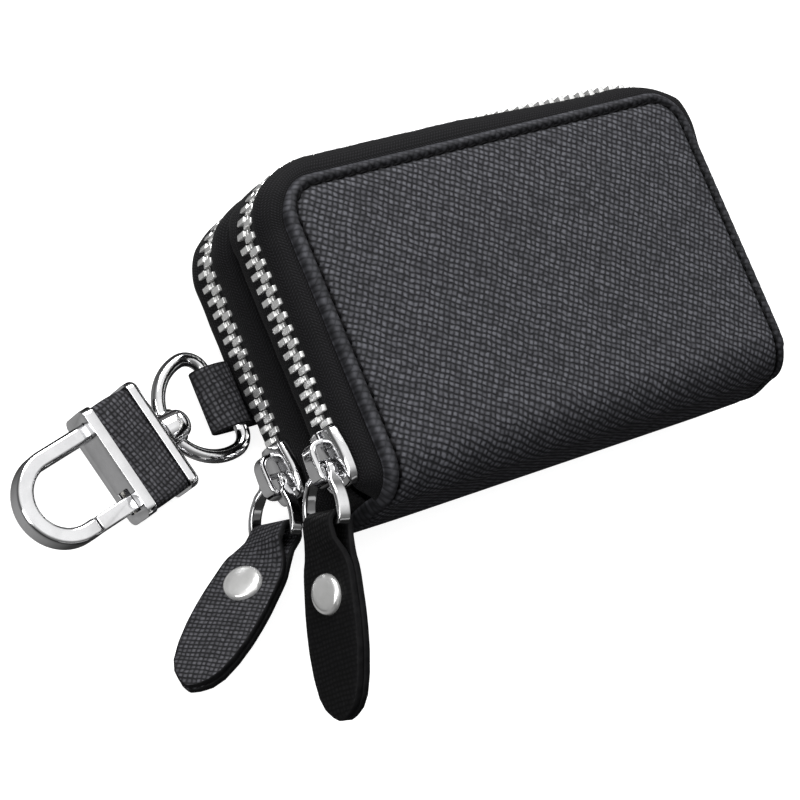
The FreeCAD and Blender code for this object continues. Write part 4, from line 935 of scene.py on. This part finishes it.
# The leaf goes up one side of the tab, round the bail's foot and down the other side.
def makeTab(label):
    foot, turn = tabPlace(label)
    shares, swells, twists = zip(*leafShape)
    radius = pulls["foldRadius"]
    foldRun = radius * math.pi / 2

    def leafStation(share, face):
        wide = blendOf(pulls["neck"], pulls["wide"], float(np.interp(share, shares, swells))) / 2
        reach = blendOf(pulls["leafFrom"], pulls["long"], share)
        ease = smoothstep(reach, pulls["easeFrom"], pulls["easeTo"])
        height = blendOf(radius, pulls["layer"] / 2 + pulls["apart"], ease)
        thick = blendOf(pulls["foldLayer"], pulls["layer"], ease) / 2
        thick *= 1 - pulls["tipThin"] * smoothstep(share, pulls["tipFrom"], 1.0)
        twist = spin(float(np.interp(share, shares, twists)) * pulls[label]["twist"], "X")
        spot = twist @ Vector((0, 0, face * height)) + Vector((-reach, 0, 0))
        return (foot + turn @ spot, turn @ (twist @ Vector((0, 1, 0))), turn @ (twist @ Vector((0, 0, face))),
                max(wide, pulls["tipLeast"]), thick, -(reach + foldRun) * face)

    def foldStation(share):
        angle = math.pi * (0.5 - share)
        out = turn @ Vector((math.cos(angle), 0, math.sin(angle)))
        return (foot + out * radius, turn @ Vector((0, 1, 0)), out, pulls["neck"] / 2, pulls["foldLayer"] / 2,
                foldRun * (2 * share - 1))

    stations = [leafStation(share, 1) for share in leafSteps]
    stations += [foldStation(i / pulls["foldSteps"]) for i in range(pulls["foldSteps"] + 1)]
    stations += [leafStation(share, -1) for share in reversed(leafSteps)]
    # The front pull takes the darker copy, which is painted shade for its shadowed side.
    skin = paintedShadePullLeather if label == "front" else tabLeather
    loftStrip(label + "_tab_leather", stations, [skin, edgePaint], label + "_pull",
              (label + "_tab",), pulls["round"], pulls["worn"])


# The head's (radius, height), from near its crown out to its rim, is the same on both faces of the tab.
rivet = {"set": 12.0, "seat": 1.5, "sunk": 0.05, "post": 1.3, "sides": 40, "crown": 1.2,
         "head": [(1.4, 1.19), (2.4, 1.15), (3.0, 1.04), (3.35, 0.82), (3.55, 0.48), (3.62, 0.16),
                  (3.62, 0.0)]}


def makeRivet(label):
    foot, turn = tabPlace(label)
    turn = turn @ spin(pulls[label]["twist"], "X")
    centre = foot + turn @ Vector((-rivet["set"], 0, 0))
    top = [(radius, rivet["seat"] + rise) for radius, rise in rivet["head"]]
    top.append((rivet["post"], rivet["seat"] - rivet["sunk"]))
    profile = top + [(radius, -height) for radius, height in reversed(top)]
    sides, rows = rivet["sides"], len(profile)
    points = []
    for radius, height in profile:
        for j in range(sides):
            angle = 2 * math.pi * j / sides
            spot = Vector((radius * math.cos(angle), radius * math.sin(angle), height))
            points.append(centre + turn @ spot)
    crown = turn @ Vector((0, 0, rivet["seat"] + rivet["crown"]))
    points += [centre + crown, centre - crown]
    faces = []
    last = (rows - 1) * sides
    for here in range(sides):
        there = (here + 1) % sides
        faces.append((rows * sides, here, there))
        faces.append((rows * sides + 1, last + there, last + here))
        faces += [(row + here, row + sides + here, row + sides + there, row + there)
                  for row in range(0, last, sides)]
    addPiece(label + "_rivet_head", [point * mm for point in points], faces, [rivetChrome],
             label + "_pull", (label + "_rivet",))


for label in ("front", "back"):
    makeBail(label)
    makeTab(label)
    makeRivet(label)
print("pulls ready")


# Strap loop, swivel eye and clasp.
strap = {"centre": 1.2, "wide": 12.0, "layer": 1.06, "round": 0.3, "worn": 0.2, "steps": 5,
         "line": [(-42.5, 1.86), (-46.5, 1.86), (-50.6, 1.95), (-52.7, 3.3), (-54.3, 5.6), (-56.6, 6.32),
                  (-59.2, 5.7), (-60.4, 4.0), (-59.2, 2.3), (-56.6, 1.68), (-53.6, 1.3), (-50.6, 0.78),
                  (-46.5, 0.76), (-42.5, 0.76)]}


def makeStrap(name, points, wideAxis, look, body, node):
    stations = followCurve(points, look["steps"], wideAxis, lambda spot: look["wide"] / 2, look["layer"] / 2)
    loftStrip(name, stations, [tabLeather, edgePaint], body, (node,), look["round"], look["worn"])


makeStrap("strap_leather", [(x, strap["centre"], z) for x, z in strap["line"]], Vector((0, -1, 0)), strap,
          "back_shell", "strap_loop")

clasp = {"origin": (-56.6, 1.4, 4.0), "yaw": 14.0, "sleeveFrom": 17.22, "sleeveTo": 26.42, "wide": 20.8,
         "thick": 6.8, "puff": 0.22, "pinch": 0.12, "pinchPower": 6, "steps": 14, "round": 1.3, "worn": 0.12,
         "chrome": {"swivel_eye": 0.1, "swivel_post": 0.15, "upper_ferrule": 0.3, "lower_ferrule": 0.3,
                    "hook": 0.4, "hook_gate": 0.35},
         "nickel": {"clasp_core": 0.15, "gate_pin": 0.12, "gate_spring": 0.05}, "edgeSteps": 3,
         "cups": {"upper_ferrule": (17.3, -1.4), "lower_ferrule": (25.6, 0.75)}}
claspTurn = spin(180 + clasp["yaw"], "Z")


# Draws a ferrule's cup back along the clasp, so that more of the sleeve shows.
def trimCup(piece, limit, shift):
    origin = Vector(clasp["origin"]) * mm
    ahead = claspTurn @ Vector((1, 0, 0))
    for vertex in piece.data.vertices:
        along = (vertex.co - origin).dot(ahead) / mm
        if (along > limit) == (shift < 0):
            vertex.co += ahead * shift * mm


for slot, finish in (("chrome", chrome), ("nickel", nickel)):
    for node, width in clasp[slot].items():
        piece = bevelledCopy(node, width, finish, clasp["edgeSteps"])
        if node in clasp["cups"]:
            trimCup(piece, *clasp["cups"][node])


def makeSleeve():
    stations = []
    for i in range(clasp["steps"] + 1):
        share = i / clasp["steps"]
        puff = clasp["puff"] * math.sin(math.pi * share)
        puff -= clasp["pinch"] * abs(2 * share - 1) ** clasp["pinchPower"]
        along = blendOf(clasp["sleeveFrom"], clasp["sleeveTo"], share)
        centre = Vector(clasp["origin"]) + claspTurn @ Vector((along, 0, 0))
        stations.append((centre, claspTurn @ Vector((0, 1, 0)), Vector((0, 0, 1)), clasp["wide"] / 2 + puff,
                         clasp["thick"] / 2 + puff, along))
    loftStrip("clasp_sleeve_leather", stations, [tabLeather], "clasp", ("leather_sleeve",),
              clasp["round"], clasp["worn"])


makeSleeve()
print("clasp ready")


# Inside: linings, divider, key hooks and fob ring.
lining = {"inset": 3.5, "thick": 0.5, "sag": 0.105, "sagLeast": -0.1, "sagFrom": 0.5, "sagTo": 8,
          "lumpFiner": 1.6, "lumpSeed": 3.0, "thinTo": 0.6, "thinIn": 1.2, "slant": 0.7,
          "rows": 25, "cols": 37, "frontAt": 31.56, "backAt": 2.44}


def makeLining(name, height, side, body, hides):
    left = case["halfLong"] - lining["inset"]
    top = case["halfWide"] - lining["inset"]
    low = -case["halfWide"] + case["wrap"]
    radius = case["corner"] - lining["inset"]
    rows, cols, finer, slant = lining["rows"], lining["cols"], lining["lumpFiner"], lining["slant"]
    points, grain = [], []
    for outer in (True, False):
        for row in range(rows):
            y = blendOf(low, top, row / (rows - 1))
            short = 0.0
            if y > top - radius:
                short = radius - math.sqrt(max(radius ** 2 - (y - top + radius) ** 2, 0))
            for col in range(cols):
                x = (left - short) * (2 * col / (cols - 1) - 1)
                edge = min(left - abs(x), top - y, y - low)
                sag = lining["sag"] * lumps(x * finer, y * finer, lining["lumpSeed"])
                sag *= smoothstep(edge, lining["sagFrom"], lining["sagTo"])
                depth = lining["thick"] * blendOf(lining["thinTo"], 1, smoothstep(edge, 0, lining["thinIn"]))
                drop = depth + max(sag, lining["sagLeast"]) if outer else 0.0
                points.append((x * mm, y * mm, (height - side * drop) * mm))
                grain.append(((x + y) * slant, (y - x) * slant, 0))
    faces = skinFaces(rows, cols, side > 0)
    piece = addPiece(name, points, faces, [liningCloth], body, hides, grain)


makeLining("front_lining_cloth", lining["frontAt"], 1, "front_shell", ("front_lining",))
makeLining("back_lining_cloth", lining["backAt"], -1, "back_shell", ("back_lining",))

inside = {"dividerRound": 0.35, "dividerSteps": 3, "hooks": 4, "hookRound": 0.2,
          "nickel": {"key_hook_plate": 0.2, "plate_rivets": 0.3, "hook_studs": 0.3, "fob_ring": 0.05}}
bevelledCopy("divider", inside["dividerRound"], liningCloth, inside["dividerSteps"])
for node, width in inside["nickel"].items():
    bevelledCopy(node, width, nickel)
for number in range(1, inside["hooks"] + 1):
    bevelledCopy(f"key_hook_{number}", inside["hookRound"], nickel)

fob = {"wide": 6.0, "layer": 0.9, "round": 0.25, "worn": 0.1, "steps": 5,
       "line": [(-24.0, 15.9), (-18, 15.9), (-13.6, 15.9), (-11, 15.88), (-9.2, 15.1), (-8.72, 13.58),
                (-9.3, 12.0), (-11, 11.32), (-13.2, 12.2), (-15.4, 14.2), (-18, 14.95), (-24.0, 14.95)]}
makeStrap("fob_strap_leather", [(0, y, z) for y, z in fob["line"]], Vector((1, 0, 0)), fob, "middle",
          "fob_strap")
for node in ("front_board", "back_board"):
    nodes[node].data.materials.clear()
    nodes[node].data.materials.append(boardSheet)
print("inside ready")


# Floor, light and camera.
stage = {"floor": 3.0, "roughness": 0.9, "gloss": 0.1, "white": (0.5, 0.5, 0.5, 1), "glow": 0.86,
         "glowWhite": (1, 1, 1, 1)}
floorMesh = bpy.data.meshes.new("studio_floor")
reach = stage["floor"]
floorMesh.from_pydata([(-reach, -reach, 0), (reach, -reach, 0), (reach, reach, 0), (-reach, reach, 0)], [],
                      [(0, 1, 2, 3)])
floor = bpy.data.objects.new("studio_floor", floorMesh)
scene.collection.objects.link(floor)
floorMesh.materials.append(startMaterial(
    "pale floor", Roughness=stage["roughness"], Specular_IOR_Level=stage["gloss"], Base_Color=stage["white"],
    Emission_Color=stage["glowWhite"], Emission_Strength=stage["glow"])[0])
floor.visible_glossy = False
floor.visible_diffuse = False

# The sky's brightness by height, times how much of it there is to the clasp's end and to the spine's side.
sky = {"strength": 1.1, "above": [(0.5, 0.0), (0.53, 0.1), (0.68, 0.18), (0.84, 0.8), (1.0, 1.0)],
       "below": [(0.0, 0.3993), (0.12, 0.2189), (0.35, 0.14), (0.52, 0.06), (0.54, 0.0)],
       "clasped": [(0.35, 0.12), (0.75, 1.0)], "spineward": [(0.26, 0.2), (0.5, 1.0)]}
world = bpy.data.worlds.new("studio")
scene.world = world
world.use_nodes = True
worldTree = world.node_tree
around = addNode(worldTree, "ShaderNodeTexCoord").outputs["Generated"]
axes = addNode(worldTree, "ShaderNodeSeparateXYZ", Vector=around).outputs


def skyRamp(axis, sign, stops):
    place = calc(worldTree, "MULTIPLY_ADD", axes[axis], sign * 0.5, 0.5)
    return ramp(worldTree, place, [(at, (grey, grey, grey)) for at, grey in stops])


above = calc(worldTree, "MULTIPLY", skyRamp("Z", 1, sky["above"]), skyRamp("Y", 1, sky["spineward"]))
below = calc(worldTree, "MULTIPLY", skyRamp("Z", 1, sky["below"]), skyRamp("X", -1, sky["clasped"]))
backdrop = worldTree.nodes["Background"].inputs
worldTree.links.new(calc(worldTree, "ADD", above, below), backdrop["Color"])
backdrop["Strength"].default_value = sky["strength"]


def addLight(name, place, target, size, power):
    lamp = bpy.data.lights.new(name, "AREA")
    lamp.shape = "RECTANGLE"
    lamp.size, lamp.size_y = size
    lamp.energy = power
    holder = bpy.data.objects.new(name, lamp)
    scene.collection.objects.link(holder)
    holder.location = place
    holder.rotation_euler = (Vector(target) - Vector(place)).to_track_quat("-Z", "Y").to_euler()


lights = {
    "top softbox": {"place": (0.1, 0.85, 0.75), "target": (0, 0, 0), "size": (0.9, 0.6), "power": 17.0},
    "left softbox": {"place": (-0.9, -0.1, 0.55), "target": (0, 0, 0.01), "size": (0.4, 0.9), "power": 5.0},
    "spine strip": {"place": (0.1, -0.9, 0.45), "target": (0, 0, 0.01), "size": (0.8, 0.2), "power": 0.2}}
for name, settings in lights.items():
    addLight(name, **settings)

view = {"at": (-290.27, -76.35, 399.01), "right": (0.79291, -0.37957, 0.47668),
        "up": (0.24372, 0.91454, 0.32282), "back": (-0.55848, -0.13979, 0.81766),
        "lens": 115.29, "sensor": 36.0, "near": 0.01}
camera = bpy.data.cameras.new("photo view")
camera.sensor_width = view["sensor"]
camera.lens = view["lens"]
camera.clip_start = view["near"]
cameraHolder = bpy.data.objects.new("photo view", camera)
scene.collection.objects.link(cameraHolder)
cameraAxes = Matrix([Vector(view[key]).normalized() for key in ("right", "up", "back")]).transposed()
cameraHolder.matrix_world = Matrix.Translation(Vector(view["at"]) * mm) @ cameraAxes.to_4x4()
scene.camera = cameraHolder
scene.view_settings.view_transform = "Standard"
print("stage ready")
